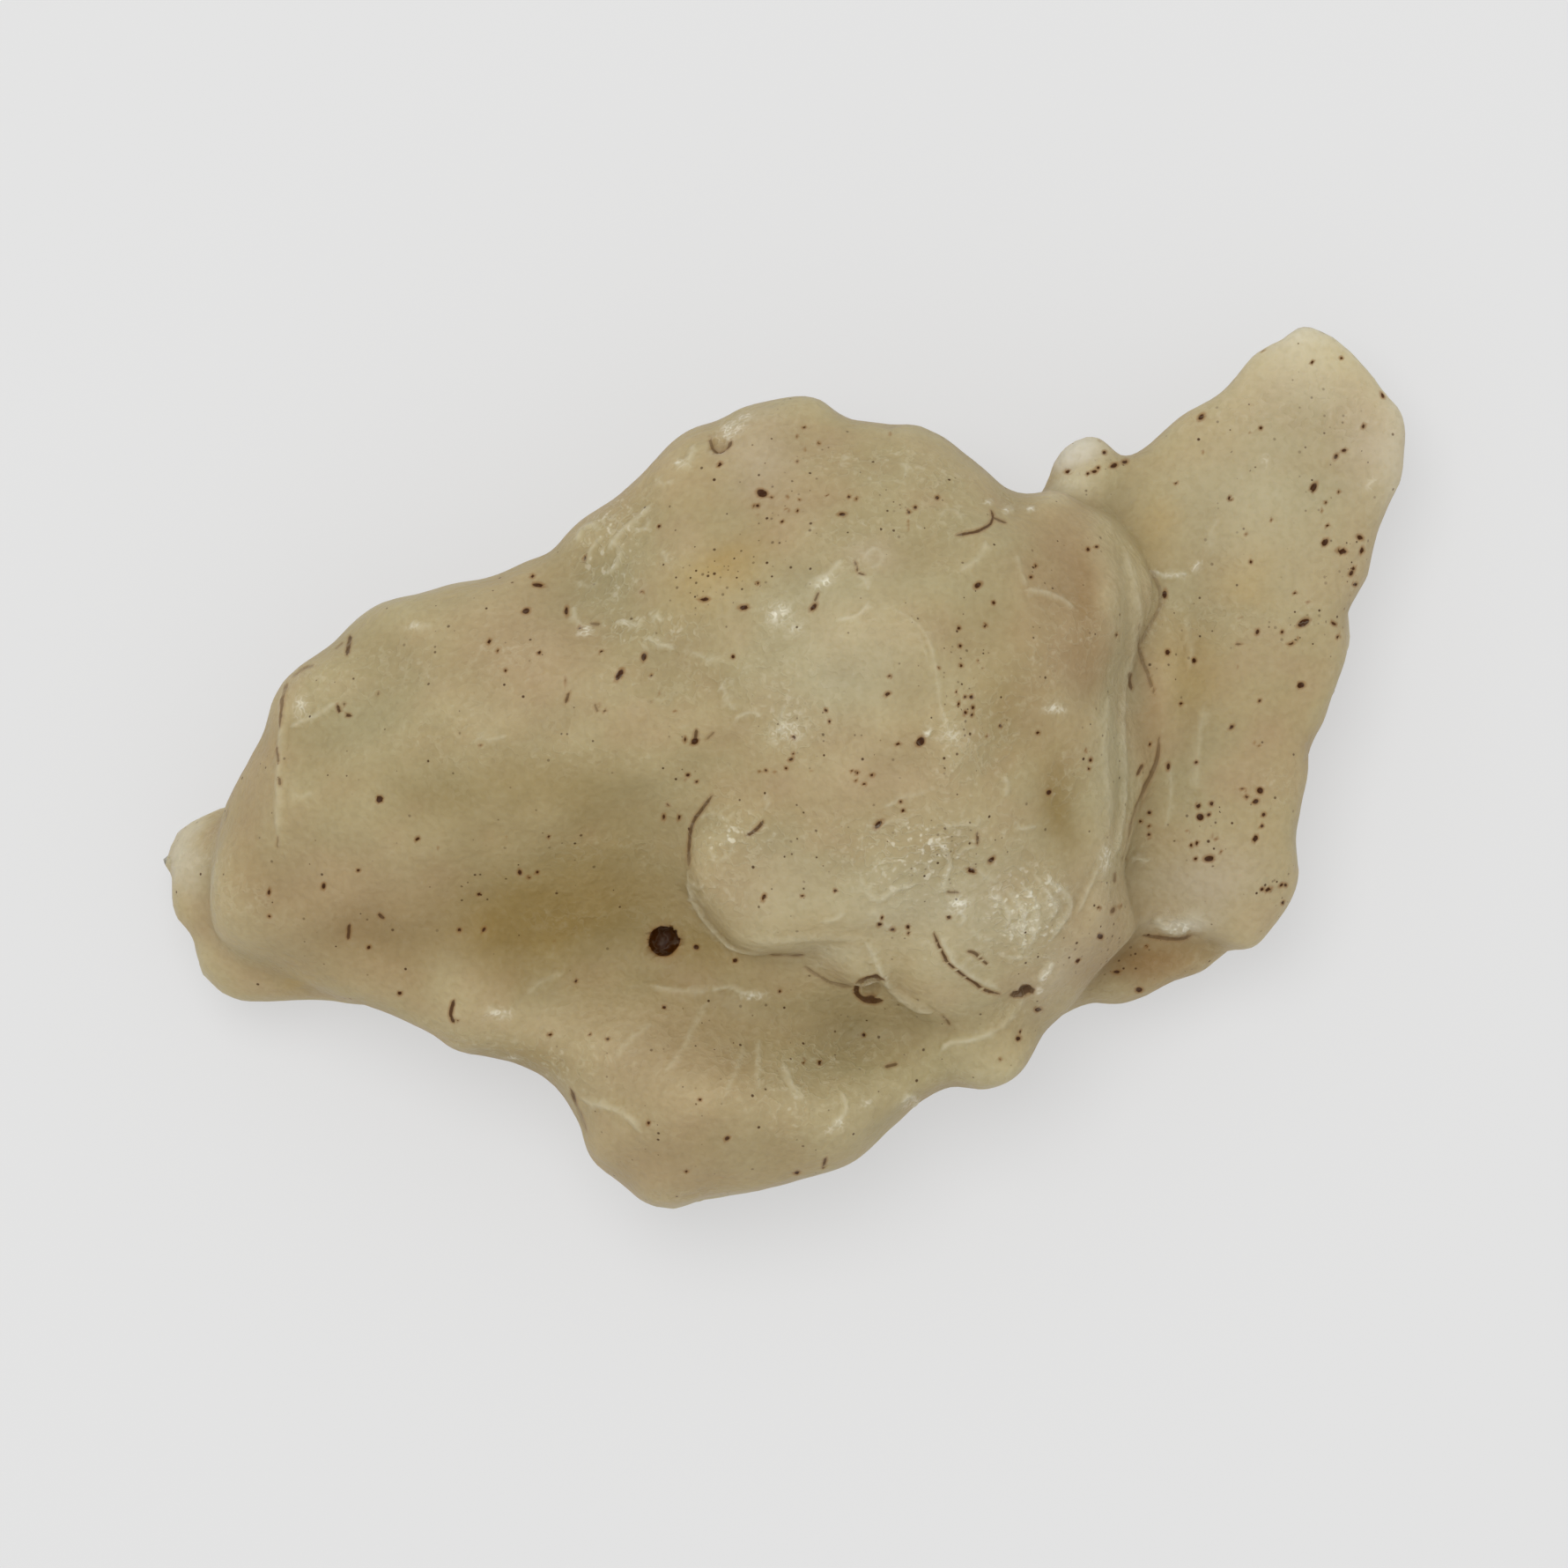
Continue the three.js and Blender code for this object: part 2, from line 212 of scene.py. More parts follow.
def height_of(reliefs: tuple[Relief, ...], x: Array, y: Array) -> Array:
    """The height of all the reliefs together at a point."""
    return sum(relief.height(x, y) for relief in reliefs)


# Wind-worn waves: turn per mm along X and along Y and phase, in radians, and share of the rise.
WAVES = (
    (0.9, 0.5, 0.4, 1.0),
    (-0.6, 1.1, 2.1, 0.9),
    (1.5, -0.8, 4.0, 0.55),
    (0.7, 1.9, 5.2, 0.5),
    (2.3, 0.9, 1.3, 0.35),
    (-1.4, 2.2, 3.3, 0.35),
)
WAVE_RISE = 0.12


def wave_height(x: Array, y: Array) -> Array:
    """The wind-worn waves at a point: a sum of sines that never quite repeats."""
    return WAVE_RISE * sum(share * np.sin(kx * x + ky * y + phase) for kx, ky, phase, share in WAVES)


# ----------------------
# Lobes


@dataclass(frozen=True)
class Lobe:
    """One rounded lobe of the lump, drawn out from its middle to an outline in plan.

    Its rim lies at rim, and rises along X and Y by slope. Its upper and lower faces would reach top and
    bottom at full, and the upper one rises by tilt. square is how square its section is: 2 is an
    ellipse, more is squarer.
    """

    name: str
    middle: Point
    rim: float
    top: float
    bottom: float
    square: float
    outline: tuple[Point, ...]
    slope: Point = (0.0, 0.0)
    tilt: Point = (0.0, 0.0)
    over: tuple[Relief, ...] = ()
    under: tuple[Relief, ...] = ()
    wave: float = 1.0
    step: float = 0.3

    RIM_SWAY = 4  # how much more the rim sways than the faces
    RIM_SLOWNESS = 0.6  # how much more slowly it sways
    SHOULDER = 0.92  # how far out the faces reach before the side begins
    SIDE_ROUND = 0.7  # the side's length beside the lobe's height
    LEAST_ROWS = 6
    LEAST_COLUMNS = 24
    EDGE_FADE = 6  # how fast the outline's turns fade inwards
    EDGE_REACH = 0.05  # the share of the outline, each way, that its smooth course is taken over

    def lean(self, rise: Point, x: Array, y: Array) -> Array:
        """How much higher a face that rises along X and Y lies at a point than at the middle."""
        return rise[0] * (x - self.middle[0]) + rise[1] * (y - self.middle[1])

    def rim_height(self, x: Array, y: Array) -> Array:
        """The height of the rim: its level, its slope and a slow sway of the wind-worn waves."""
        sway = self.RIM_SWAY * wave_height(self.RIM_SLOWNESS * x, self.RIM_SLOWNESS * y)
        return self.rim + self.lean(self.slope, x, y) + self.wave * sway

    def upper_height(self, x: Array, y: Array) -> Array:
        """The height the upper face would reach at full: its level, its tilt, the waves and its reliefs."""
        level = self.top + self.lean(self.tilt, x, y) + self.wave * wave_height(x, y)
        return level + height_of(self.over, x, y)

    def lower_height(self, x: Array, y: Array) -> Array:
        """The height the lower face would reach at full: its level, the waves and its reliefs."""
        return self.bottom - self.wave * wave_height(y, x) + height_of(self.under, x, y)

    def falls(self) -> Array:
        """The falls of the surface's rows, from 0 at its top to pi at its underside.

        Out to the shoulder the rows are evenly far out in plan. From there they go evenly down the side.

        Returns:
            The falls, pole to pole.
        """
        radius = float(np.abs(np.array(self.outline) - self.middle).max())
        rows = max(self.LEAST_ROWS, round(radius / self.step))
        face = np.arcsin((self.SHOULDER * np.arange(rows) / rows) ** (self.square / 2))
        last = math.asin(self.SHOULDER ** (self.square / 2))
        side_rows = max(self.LEAST_ROWS, round((self.top - self.bottom) * self.SIDE_ROUND / self.step))
        side = np.linspace(last, math.pi - last, side_rows)
        return np.concatenate([face, side, math.pi - face[::-1]])

    def surface(self) -> tuple[Array, Array]:
        """The closed surface of two parameters: the place round the outline, and the fall.

        The fall draws a place on the outline in to the middle, and lifts or drops it from the rim, as a
        superellipse: share out ^ n + share up ^ n = 1. The outline's turns fade inwards.

        Returns:
            The points, shape (n, 3), and the quads with their two end fans as triangles, shape (m, 4).
        """
        line = closed_curve(np.array(self.outline, dtype=float))
        length = np.linalg.norm(np.diff(line, axis=0), axis=1).sum()
        columns = max(self.LEAST_COLUMNS, round(length / self.step))
        edge = evenly(line, columns)
        smooth = smooth_course(edge, self.EDGE_REACH)
        falls = self.falls()[1:-1, None]
        out = np.sin(falls) ** (2 / self.square)
        up = np.abs(np.cos(falls)) ** (2 / self.square)
        middle = np.array(self.middle)
        plan = middle + (smooth - middle)[None] * out[..., None]
        plan = plan + (edge - smooth)[None] * (out**self.EDGE_FADE)[..., None]
        x, y = plan[..., 0], plan[..., 1]
        full = np.where(falls <= math.pi / 2, self.upper_height(x, y), self.lower_height(x, y))
        rim = self.rim_height(x, y)
        z = rim + (full - rim) * up
        body = np.stack([x, y, z], axis=-1).reshape(-1, 3)
        centre = np.array([self.middle[0]]), np.array([self.middle[1]])
        poles = [[*self.middle, height(*centre)[0]] for height in (self.upper_height, self.lower_height)]
        return np.vstack([body, poles]), ring_faces(len(falls), columns)


def ring_faces(rows: int, columns: int) -> Array:
    """The faces of rings of points that close on a pole at either end.

    Args:
        rows: how many rings there are, top to underside.
        columns: how many points a ring has, anticlockwise from above.

    Returns:
        Faces of four corners, shape (m, 4). A fan's triangle repeats its pole.
    """
    row, column = np.meshgrid(np.arange(rows - 1), np.arange(columns), indexing="ij")
    beside = (column + 1) % columns
    upper, lower = row * columns, (row + 1) * columns
    quads = np.stack([upper + column, lower + column, lower + beside, upper + beside], axis=-1)
    around = np.arange(columns)
    after = (around + 1) % columns
    top, bottom = np.full(columns, rows * columns), np.full(columns, rows * columns + 1)
    last = (rows - 1) * columns
    top_fan = np.stack([top, around, after, top], axis=-1)
    bottom_fan = np.stack([bottom, last + after, last + around, bottom], axis=-1)
    return np.vstack([quads.reshape(-1, 4), top_fan, bottom_fan])


BODY_OVER = (
    Mound("crown", (6.5, 4.5), (8.5, 8.0), 3.9),
    Mound("brow shelf", (6.0, -2.0), (6.0, 4.0), 1.2),
    Mound("left lobe", (-12.5, 3.0), (9.0, 5.5), 1.4, 12),
    Mound("valley", (-6.2, -7.8), (9.5, 4.2), -5.0, -12),
    Mound("valley mouth", (4.5, -11.2), (6.5, 2.2), -4.2, 4),
    Mound("left apron", (-18.0, -8.5), (6.0, 4.0), -2.4, -20),
    Mound("lower lobe", (-2.5, -14.5), (6.0, 3.0), 0.9, -8),
    Mound("brow side", (-6.0, -2.6), (2.6, 3.0), -1.1),
    Mound("notch", (-9.5, 9.0), (2.4, 3.0), -1.4, 40),
    Mound("crest terrace", (0.5, 11.5), (9.6, 6.0), 0.6, 0, 4),
    Mound("right flank", (16.2, 1.0), (1.6, 10.0), -3.5, 0, 2),
    Ridge("left facet edge", ((-22.6, 4.8), (-22.8, -2.6)), 0.9, 0.5),
    Ridge("crown arc", ((3.8, 8.2), (6.4, 6.4), (7.4, 3.6), (7.6, 0.8)), 0.8, 0.18),
    Ridge("crown arc beside", ((10.4, 8.8), (12.4, 8.2), (13.0, 6.8)), 0.7, 0.3),
    Ridge(
        "right shoulder",
        ((14.0, 11.2), (15.0, 7.6), (14.9, 2.0), (14.9, -3.6), (13.6, -7.4), (10.6, -10.4), (7.0, -11.9)),
        0.8,
        0.9,
    ),
    Ridge("lower spur", ((-9.2, -13.8), (-6.2, -15.4)), 0.9, 0.4),
)

BODY_UNDER = (
    Mound("belly", (0.0, -0.5), (11.0, 8.0), -2.9, 8),
    Mound("left heel", (-16.0, -2.0), (6.0, 5.0), -0.9, 20),
    Mound("upper hollow", (-4.0, 10.0), (7.0, 4.0), 1.5, 30),
    Mound("lower hollow", (8.0, -9.0), (6.0, 4.0), 1.2, -30),
)

FIN_OVER = (
    Mound("tip", (25.0, 18.0), (5.0, 6.0), -1.5),
    Mound("groove", (18.4, 4.0), (1.2, 8.0), -0.6, -8),
    Mound("lower boss", (20.5, -4.0), (3.5, 4.0), 1.2),
    Mound("root swell", (17.0, 3.4), (1.8, 4.4), 1.5),
)

FIN_UNDER = (
    Mound("tip", (25.0, 18.0), (5.0, 6.0), 1.2),
    Mound("root", (17.5, 0.0), (5.0, 8.0), -1.0),
)

MAIN_BODY = Lobe(
    name="body",
    middle=(2.2, 0.4),
    rim=8.8,
    top=15.6,
    bottom=1.6,
    square=2.6,
    slope=(0.03, 0.06),
    over=BODY_OVER,
    under=BODY_UNDER,
    outline=(
        (-25.4, -7.3), (-24.2, -8.0), (-22.4, -8.8), (-20.6, -9.6), (-19.0, -10.1), (-17.6, -10.6),
        (-16.0, -11.4), (-14.9, -12.2), (-13.6, -12.4), (-12.0, -12.8), (-10.8, -13.4), (-10.0, -14.3),
        (-9.3, -15.5), (-9.0, -16.5), (-8.5, -17.4), (-7.4, -18.2), (-6.5, -19.0), (-5.6, -19.3),
        (-4.6, -19.2), (-3.6, -18.8), (-1.6, -18.6), (0.4, -18.1), (2.2, -17.6), (3.3, -17.1),
        (4.4, -16.1), (6.0, -14.6), (6.8, -14.1), (7.7, -13.7), (8.4, -13.8), (9.2, -13.9),
        (10.3, -13.5), (11.0, -12.8), (11.5, -11.8), (12.0, -11.0), (12.6, -10.6), (13.5, -9.6),
        (14.2, -8.6), (15.2, -7.6), (16.0, -6.6), (15.8, -5.6), (15.4, -3.8), (15.9, -2.0),
        (16.4, -0.4), (16.8, 0.7), (17.0, 2.1), (16.4, 3.6), (15.9, 5.0), (16.0, 6.2), (16.5, 7.6),
        (16.7, 8.9), (16.4, 10.0), (15.8, 11.1), (14.9, 12.1), (13.6, 12.7), (12.3, 13.4),
        (11.6, 13.2), (10.8, 13.1), (9.9, 13.5), (9.3, 14.1), (8.4, 14.8), (7.3, 15.7), (6.2, 16.2),
        (5.4, 16.4), (4.9, 16.1), (4.4, 16.4), (3.1, 16.5), (2.2, 17.0), (1.6, 17.5), (0.4, 17.6),
        (-0.6, 17.4), (-1.9, 17.1), (-2.9, 16.5), (-4.1, 16.2), (-5.1, 15.5), (-6.1, 14.4),
        (-7.5, 13.1), (-9.2, 12.0), (-10.0, 11.2), (-10.4, 10.6), (-11.7, 10.1), (-12.7, 9.6),
        (-13.6, 9.3), (-15.0, 9.1), (-16.2, 8.7), (-17.7, 8.4), (-18.6, 8.1), (-19.6, 7.3),
        (-20.5, 6.4), (-21.5, 5.7), (-22.4, 5.0), (-23.0, 4.2), (-23.4, 3.3), (-23.6, 2.3),
        (-24.4, 1.0), (-25.0, -0.1), (-25.4, -0.9), (-25.7, -2.0), (-25.9, -3.4), (-26.1, -5.0),
        (-26.0, -6.4),
    ),
)

FIN = Lobe(
    name="fin",
    middle=(20.5, 8.0),
    rim=6.2,
    top=9.0,
    bottom=3.0,
    square=3.0,
    slope=(0.02, -0.01),
    over=FIN_OVER,
    under=FIN_UNDER,
    wave=0.35,
    outline=(
        (15.2, 14.7), (14.0, 14.0), (12.4, 11.6), (10.4, 7.6), (10.4, 1.6), (12.4, -4.4), (15.4, -7.1),
        (16.6, -6.8), (17.6, -7.0), (18.4, -6.9), (19.4, -7.2), (20.4, -7.5), (21.3, -7.6),
        (22.4, -6.4), (23.2, -5.2), (23.5, -4.0), (23.3, -2.5), (23.6, -0.9), (23.9, 0.6), (23.9, 1.7),
        (24.6, 2.7), (25.0, 4.1), (25.5, 5.3), (25.8, 6.6), (25.6, 7.6), (26.2, 8.7), (26.7, 9.6),
        (27.0, 11.2), (27.5, 12.5), (28.1, 13.8), (28.3, 15.0), (28.4, 16.1), (28.3, 16.8),
        (27.7, 17.6), (26.5, 19.1), (25.6, 20.1), (24.4, 20.8), (23.6, 21.0), (22.7, 20.3),
        (22.0, 20.0), (21.4, 19.6), (20.7, 18.7), (20.0, 17.9), (19.2, 17.4), (18.1, 16.8),
        (17.2, 16.0), (16.3, 15.2),
    ),
)

FIN_BUD = Lobe(
    name="fin bud",
    middle=(14.0, 13.6),
    rim=6.8,
    top=8.6,
    bottom=4.6,
    square=2.4,
    outline=(
        (12.4, 12.0), (14.0, 11.6), (15.8, 12.4), (15.8, 14.4), (15.1, 15.1), (14.6, 15.7),
        (14.1, 15.9), (13.3, 15.7), (12.6, 15.2), (12.2, 14.4), (11.9, 13.4),
    ),
)

RIGHT_FOOT = Lobe(
    name="right foot",
    middle=(15.0, -6.0),
    rim=4.4,
    top=7.0,
    bottom=0.9,
    square=2.3,
    outline=(
        (13.1, -10.4), (14.0, -10.0), (15.1, -10.1), (16.4, -9.8), (17.8, -9.0), (19.0, -8.7),
        (19.8, -8.0), (20.4, -7.5), (20.6, -5.4), (19.4, -3.0), (15.6, -1.6), (11.6, -2.6),
        (9.4, -6.0), (10.0, -9.6), (11.8, -10.9),
    ),
)

LEFT_FOOT = Lobe(
    name="left foot",
    middle=(-21.5, -5.6),
    rim=5.0,
    top=8.0,
    bottom=1.8,
    square=2.3,
    slope=(0.08, 0),
    outline=(
        (-26.5, -1.4), (-27.4, -1.8), (-27.8, -2.4), (-28.1, -3.0), (-28.1, -3.8), (-28.0, -4.8),
        (-28.0, -5.7), (-27.6, -6.4), (-27.0, -6.9), (-26.9, -7.8), (-26.6, -8.6), (-25.9, -9.4),
        (-25.4, -9.8), (-24.2, -10.0), (-21.2, -9.9), (-18.4, -10.1), (-15.4, -8.8), (-14.6, -5.6),
        (-16.6, -2.4), (-20.6, -1.0), (-24.6, -0.8),
    ),
)

BROW = Lobe(
    name="brow",
    middle=(2.0, -2.0),
    rim=13.8,
    top=17.4,
    bottom=11.0,
    square=4.0,
    slope=(0.08, 0.26),
    tilt=(0.16, 0.2),
    outline=(
        (-3.3, -0.5), (-4.2, -2.2), (-4.3, -3.4), (-4.1, -4.8), (-3.6, -5.8), (-2.8, -6.8),
        (-2.0, -7.4), (-0.8, -7.6), (0.6, -7.6), (1.6, -7.5), (3.2, -7.0), (5.6, -6.2), (8.0, -4.0),
        (9.0, 0.0), (6.0, 3.5), (2.0, 4.2), (-1.2, 2.6), (-2.6, 0.8),
    ),
)

LIP = Lobe(
    name="lip",
    middle=(3.2, -5.8),
    rim=12.2,
    top=15.6,
    bottom=9.0,
    square=2.2,
    tilt=(0.1, 0.3),
    outline=(
        (0.2, -4.4), (-0.4, -6.4), (0.4, -7.6), (1.9, -8.4), (2.8, -9.0), (3.6, -9.2), (5.0, -8.8),
        (6.6, -7.2), (7.0, -5.0), (4.0, -3.2),
    ),
)

CHIN = Lobe(
    name="chin",
    middle=(8.4, -4.4),
    rim=12.0,
    top=16.0,
    bottom=8.0,
    square=2.6,
    slope=(0.04, 0.3),
    tilt=(-0.06, 0.32),
    outline=(
        (3.8, -6.8), (4.3, -8.2), (4.8, -9.4), (5.7, -10.3), (6.8, -10.8), (8.0, -11.0), (9.4, -10.8),
        (10.8, -10.2), (12.0, -9.2), (13.0, -7.6), (13.6, -5.2), (13.2, -2.4), (11.4, 0.8), (8.0, 1.6),
        (5.0, -0.4), (3.8, -3.6),
    ),
)

LOBES = (MAIN_BODY, FIN, FIN_BUD, RIGHT_FOOT, LEFT_FOOT, BROW, LIP, CHIN)


# ----------------------
# Steady clouds and scallops

CORNERS = np.stack(np.meshgrid(*[(0, 1)] * 3, indexing="ij"), axis=-1).reshape(-1, 3)
CELLS_AROUND = np.stack(np.meshgrid(*[(-1, 0, 1)] * 3, indexing="ij"), axis=-1).reshape(-1, 3)
CELL_PRIMES = np.array([[73856093], [19349663], [83492791]])  # one for each axis of a grid
SEED_PRIME = 2654435761
DRAW_PRIMES = (2246822519, 3266489917, 668265263)  # one for each of a cell's three numbers
DRAW_MASK = 0xFFFFF  # the bits of a product that make a number
DRAW_SHIFT = 15


def steady_random(cells: Array, seed: int) -> Array:
    """Three steady random numbers for each cell of a grid: the same cell always gives the same.

    Args:
        cells: the cells' whole places, shape (n, 3).
        seed: picks the numbers.

    Returns:
        Numbers from 0 to 1, shape (n, 3).
    """
    mixed = cells.astype(np.int64) @ CELL_PRIMES + seed * SEED_PRIME
    turns = np.stack([mixed[..., 0] * prime for prime in DRAW_PRIMES], axis=-1)
    return ((turns ^ (turns >> DRAW_SHIFT)) & DRAW_MASK) / DRAW_MASK


@dataclass(frozen=True)
class Clouds:
    """Soft random clouds. Each further octave has clouds half the size and half the strength."""

    size: float
    seed: int
    octaves: int = 1

    def over(self, points: Array) -> Array:
        """The clouds: between the corners of a grid's cell, their random numbers blend smoothly.

        Args:
            points: shape (n, 3).

        Returns:
            Values from -1 to 1, shape (n,).
        """
        total, whole = np.zeros(len(points)), 0.0
        for octave in range(self.octaves):
            scaled = points * (2**octave / self.size)
            home = np.floor(scaled)
            part = scaled - home
            part = part * part * (3 - 2 * part)
            value = np.zeros(len(points))
            for corner in CORNERS:
                weight = np.prod(np.where(corner, part, 1 - part), axis=1)
                value += weight * steady_random(home + corner, self.seed + octave)[:, 0]
            total += 0.5**octave * (2 * value - 1)
            whole += 0.5**octave
        return total / whole


@dataclass(frozen=True)
class Scallops:
    """Wind scallops: cups round points that are strewn one to a cell of a grid."""

    size: float
    seed: int

    def over(self, points: Array) -> Array:
        """The distance to the nearest of the strewn points.

        Args:
            points: shape (n, 3).

        Returns:
            The distances in cells, from 0 to about 1, shape (n,).
        """
        scaled = points / self.size
        home = np.floor(scaled)
        nearest = np.full(len(points), np.inf)
        for step in CELLS_AROUND:
            cell = home + step
            gap = np.linalg.norm(cell + steady_random(cell, self.seed) - scaled, axis=1)
            nearest = np.minimum(nearest, gap)
        return nearest


# ----------------------
# The skin as whole arrays


@dataclass
class Skin:
    """A closed skin of triangles: its points, its faces, and how hollow it is at each point."""

    points: Array
    faces: Array
    hollow: Array

    def edges(self) -> tuple[Array, Array]:
        """The skin's edges, and the number of the edge along each side of each face.

        Returns:
            Pairs of point numbers, shape (e, 2), and edge numbers, shape (m, 3).
        """
        sides = np.sort(self.faces[:, [[0, 1], [1, 2], [2, 0]]].reshape(-1, 2), axis=1)
        keys, which = np.unique(sides[:, 0] * len(self.points) + sides[:, 1], return_inverse=True)
        return np.column_stack(np.divmod(keys, len(self.points))), which.reshape(-1, 3)

    def normals(self) -> Array:
        """The normal at each point: the sum of its faces' normals, each as strong as its face is large.

        Returns:
            Directions of length 1, shape (n, 3).
        """
        corners = self.points[self.faces]
        turned = np.cross(corners[:, 1] - corners[:, 0], corners[:, 2] - corners[:, 0])
        sums = np.stack([self.gather(np.repeat(turned[:, axis], 3)) for axis in range(3)], axis=1)
        return sums / np.maximum(np.linalg.norm(sums, axis=1, keepdims=True), TINY_AREA)

    def gather(self, values: Array) -> Array:
        """Adds up the values of the faces' corners at the points that they meet in."""
        return np.bincount(self.faces.ravel(), weights=values, minlength=len(self.points))

    def relaxed(self, rounds: int, share: float = 0.5) -> Array:
        """The points after each has been drawn towards the mean of its neighbours, again and again.

        Args:
            rounds: how many times to draw.
            share: how far each round draws, from 0 to 1.

        Returns:
            The new points, shape (n, 3).
        """
        pairs, _ = self.edges()
        ends, others = np.concatenate([pairs, pairs[:, ::-1]]).T
        count = len(self.points)
        number = np.maximum(np.bincount(ends, minlength=count), 1)
        points = self.points
        for _ in range(rounds):
            sums = [np.bincount(ends, weights=points[others, axis], minlength=count) for axis in range(3)]
            points = points + share * (np.stack(sums, axis=1) / number[:, None] - points)
        return points

    def refined(self, chosen: Array) -> "Skin":
        """Cuts every edge between two chosen points in half, and the faces beside it to match.

        A new point lies where a smooth curve from end to end would pass: halfway between the ends, and
        out by an eighth of what each end's normal leans towards the other end.

        Args:
            chosen: whether each point is chosen, shape (n,).

        Returns:
            The finer skin.
        """
        pairs, which = self.edges()
        cut = chosen[pairs].all(axis=1)
        first, last = pairs[cut].T
        normals = self.normals()
        across = self.points[last] - self.points[first]
        lean = np.sum(across * normals[first], axis=1)[:, None] * normals[first]
        lean -= np.sum(across * normals[last], axis=1)[:, None] * normals[last]
        halfway = (self.points[first] + self.points[last]) / 2 - lean / 8
        number = np.full(len(pairs), -1)
        number[cut] = len(self.points) + np.arange(len(first))
        faces = cut_faces(self.faces, number[which])
        hollow = np.concatenate([self.hollow, (self.hollow[first] + self.hollow[last]) / 2])
        return Skin(np.vstack([self.points, halfway]), faces, hollow)


def cut_faces(faces: Array, middle: Array) -> Array:
    """Cuts triangles at the new points on their sides.

    A face with one new point becomes two, with two it becomes three, and with three it becomes four.

    Args:
        faces: corners, shape (m, 3).
        middle: the new point on each side, from each corner to the next, or -1, shape (m, 3).

    Returns:
        The new faces, shape (k, 3).
    """
    count = (middle >= 0).sum(axis=1)
    one_first = np.argmax(middle >= 0, axis=1)
    two_first = (np.argmax(middle < 0, axis=1) + 1) % 3
    start = np.where(count == 1, one_first, np.where(count == 2, two_first, 0))
    turn = (np.arange(3) + start[:, None]) % 3
    a, b, c = np.take_along_axis(faces, turn, axis=1).T
    ab, bc, ca = np.take_along_axis(middle, turn, axis=1).T
    patterns = {
        0: [(a, b, c)],
        1: [(a, ab, c), (ab, b, c)],
        2: [(ab, b, bc), (a, ab, bc), (a, bc, c)],
        3: [(a, ab, ca), (ab, b, bc), (bc, c, ca), (ab, bc, ca)],
    }
    pieces = [np.stack(p, axis=1)[count == number] for number, made in patterns.items() for p in made]
    return np.vstack(pieces)


def put_mesh(name: str, points: Array, faces: Array) -> bpy.types.Mesh:
    """A mesh of points and faces.

    Args:
        name: the mesh's name.
        points: shape (n, 3).
        faces: corners of the faces, shape (m, 3) or (m, 4). In rows of four, a triangle repeats its
            first corner at the end.

    Returns:
        The mesh.
    """
    width = faces.shape[1]
    sizes = np.where((width == 4) & (faces[:, 0] != faces[:, -1]), 4, 3)
    corners = faces[np.arange(width)[None] < sizes[:, None]]
    mesh = bpy.data.meshes.new(name)
    mesh.vertices.add(len(points))
    mesh.vertices.foreach_set("co", points.astype(np.float32).ravel())
    mesh.loops.add(len(corners))
    mesh.loops.foreach_set("vertex_index", corners.astype(np.int32))
    mesh.polygons.add(len(faces))
    mesh.polygons.foreach_set("loop_start", (np.cumsum(sizes) - sizes).astype(np.int32))
    mesh.polygons.foreach_set("use_smooth", np.ones(len(faces), dtype=bool))
    mesh.update(calc_edges=True)
    return mesh


def put_attribute(mesh: bpy.types.Mesh, name: str, values: Array) -> None:
    """Gives a mesh an attribute at each point.

    Args:
        mesh: the mesh.
        name: the attribute's name.
        values: numbers, shape (n,), or colours, shape (n, 4).
    """
    kind, key = ("FLOAT", "value") if values.ndim == 1 else ("FLOAT_COLOR", "color")
    attribute = mesh.attributes.new(name, kind, "POINT")
    attribute.data.foreach_set(key, values.astype(np.float32).ravel())


def read(collection: bpy.types.bpy_prop_collection, key: str, width: int, kind: type) -> Array:
    """Reads one property of every item of a mesh's collection.

    Args:
        collection: the items.
        key: the property's name.
        width: how many numbers the property has.
        kind: the numbers' type.

    Returns:
        One row for each item, shape (n, width).
    """
    values = np.empty(len(collection) * width, dtype=kind)
    collection.foreach_get(key, values)
    return values.reshape(-1, width)


def fuse(shells: bpy.types.Mesh, grain: float) -> Skin:
    """Fuses overlapping closed shells into one skin of even small faces.

    Args:
        shells: the shells. The mesh is used up.
        grain: the size of the new faces.

    Returns:
        The skin.
    """
    holder = bpy.data.objects.new("shells", shells)
    bpy.context.scene.collection.objects.link(holder)
    remesh = holder.modifiers.new("fuse", "REMESH")
    remesh.mode = "VOXEL"
    remesh.voxel_size = grain
    fused = bpy.data.meshes.new_from_object(holder.evaluated_get(bpy.context.evaluated_depsgraph_get()))
    points = read(fused.vertices, "co", 3, np.float32).astype(float)
    fused.calc_loop_triangles()
    faces = read(fused.loop_triangles, "vertices", 3, np.int32).astype(np.int64)
    bpy.data.objects.remove(holder)
    bpy.data.meshes.remove(shells)
    bpy.data.meshes.remove(fused)
    return Skin(points, faces, np.zeros(len(points)))


# ----------------------
# Marks on the upper face

WANDER = 0.06  # how far the marks' edges wander
WANDER_X = Clouds(0.5, 31, 2)
WANDER_Y = Clouds(0.5, 41, 2)
GRIT = Clouds(0.22, 51, 2)
INK_REACH = 0.4  # how far from an inked mark the face still tells the distance to its edge
FAINT_INK = 0.5  # a bubble with less ink than this is only tinted
STEEP = 0.2  # the upward part of a normal where ink ends, because marks would smear down the side
GENTLE = 0.45  # the upward part of a normal from where ink is full


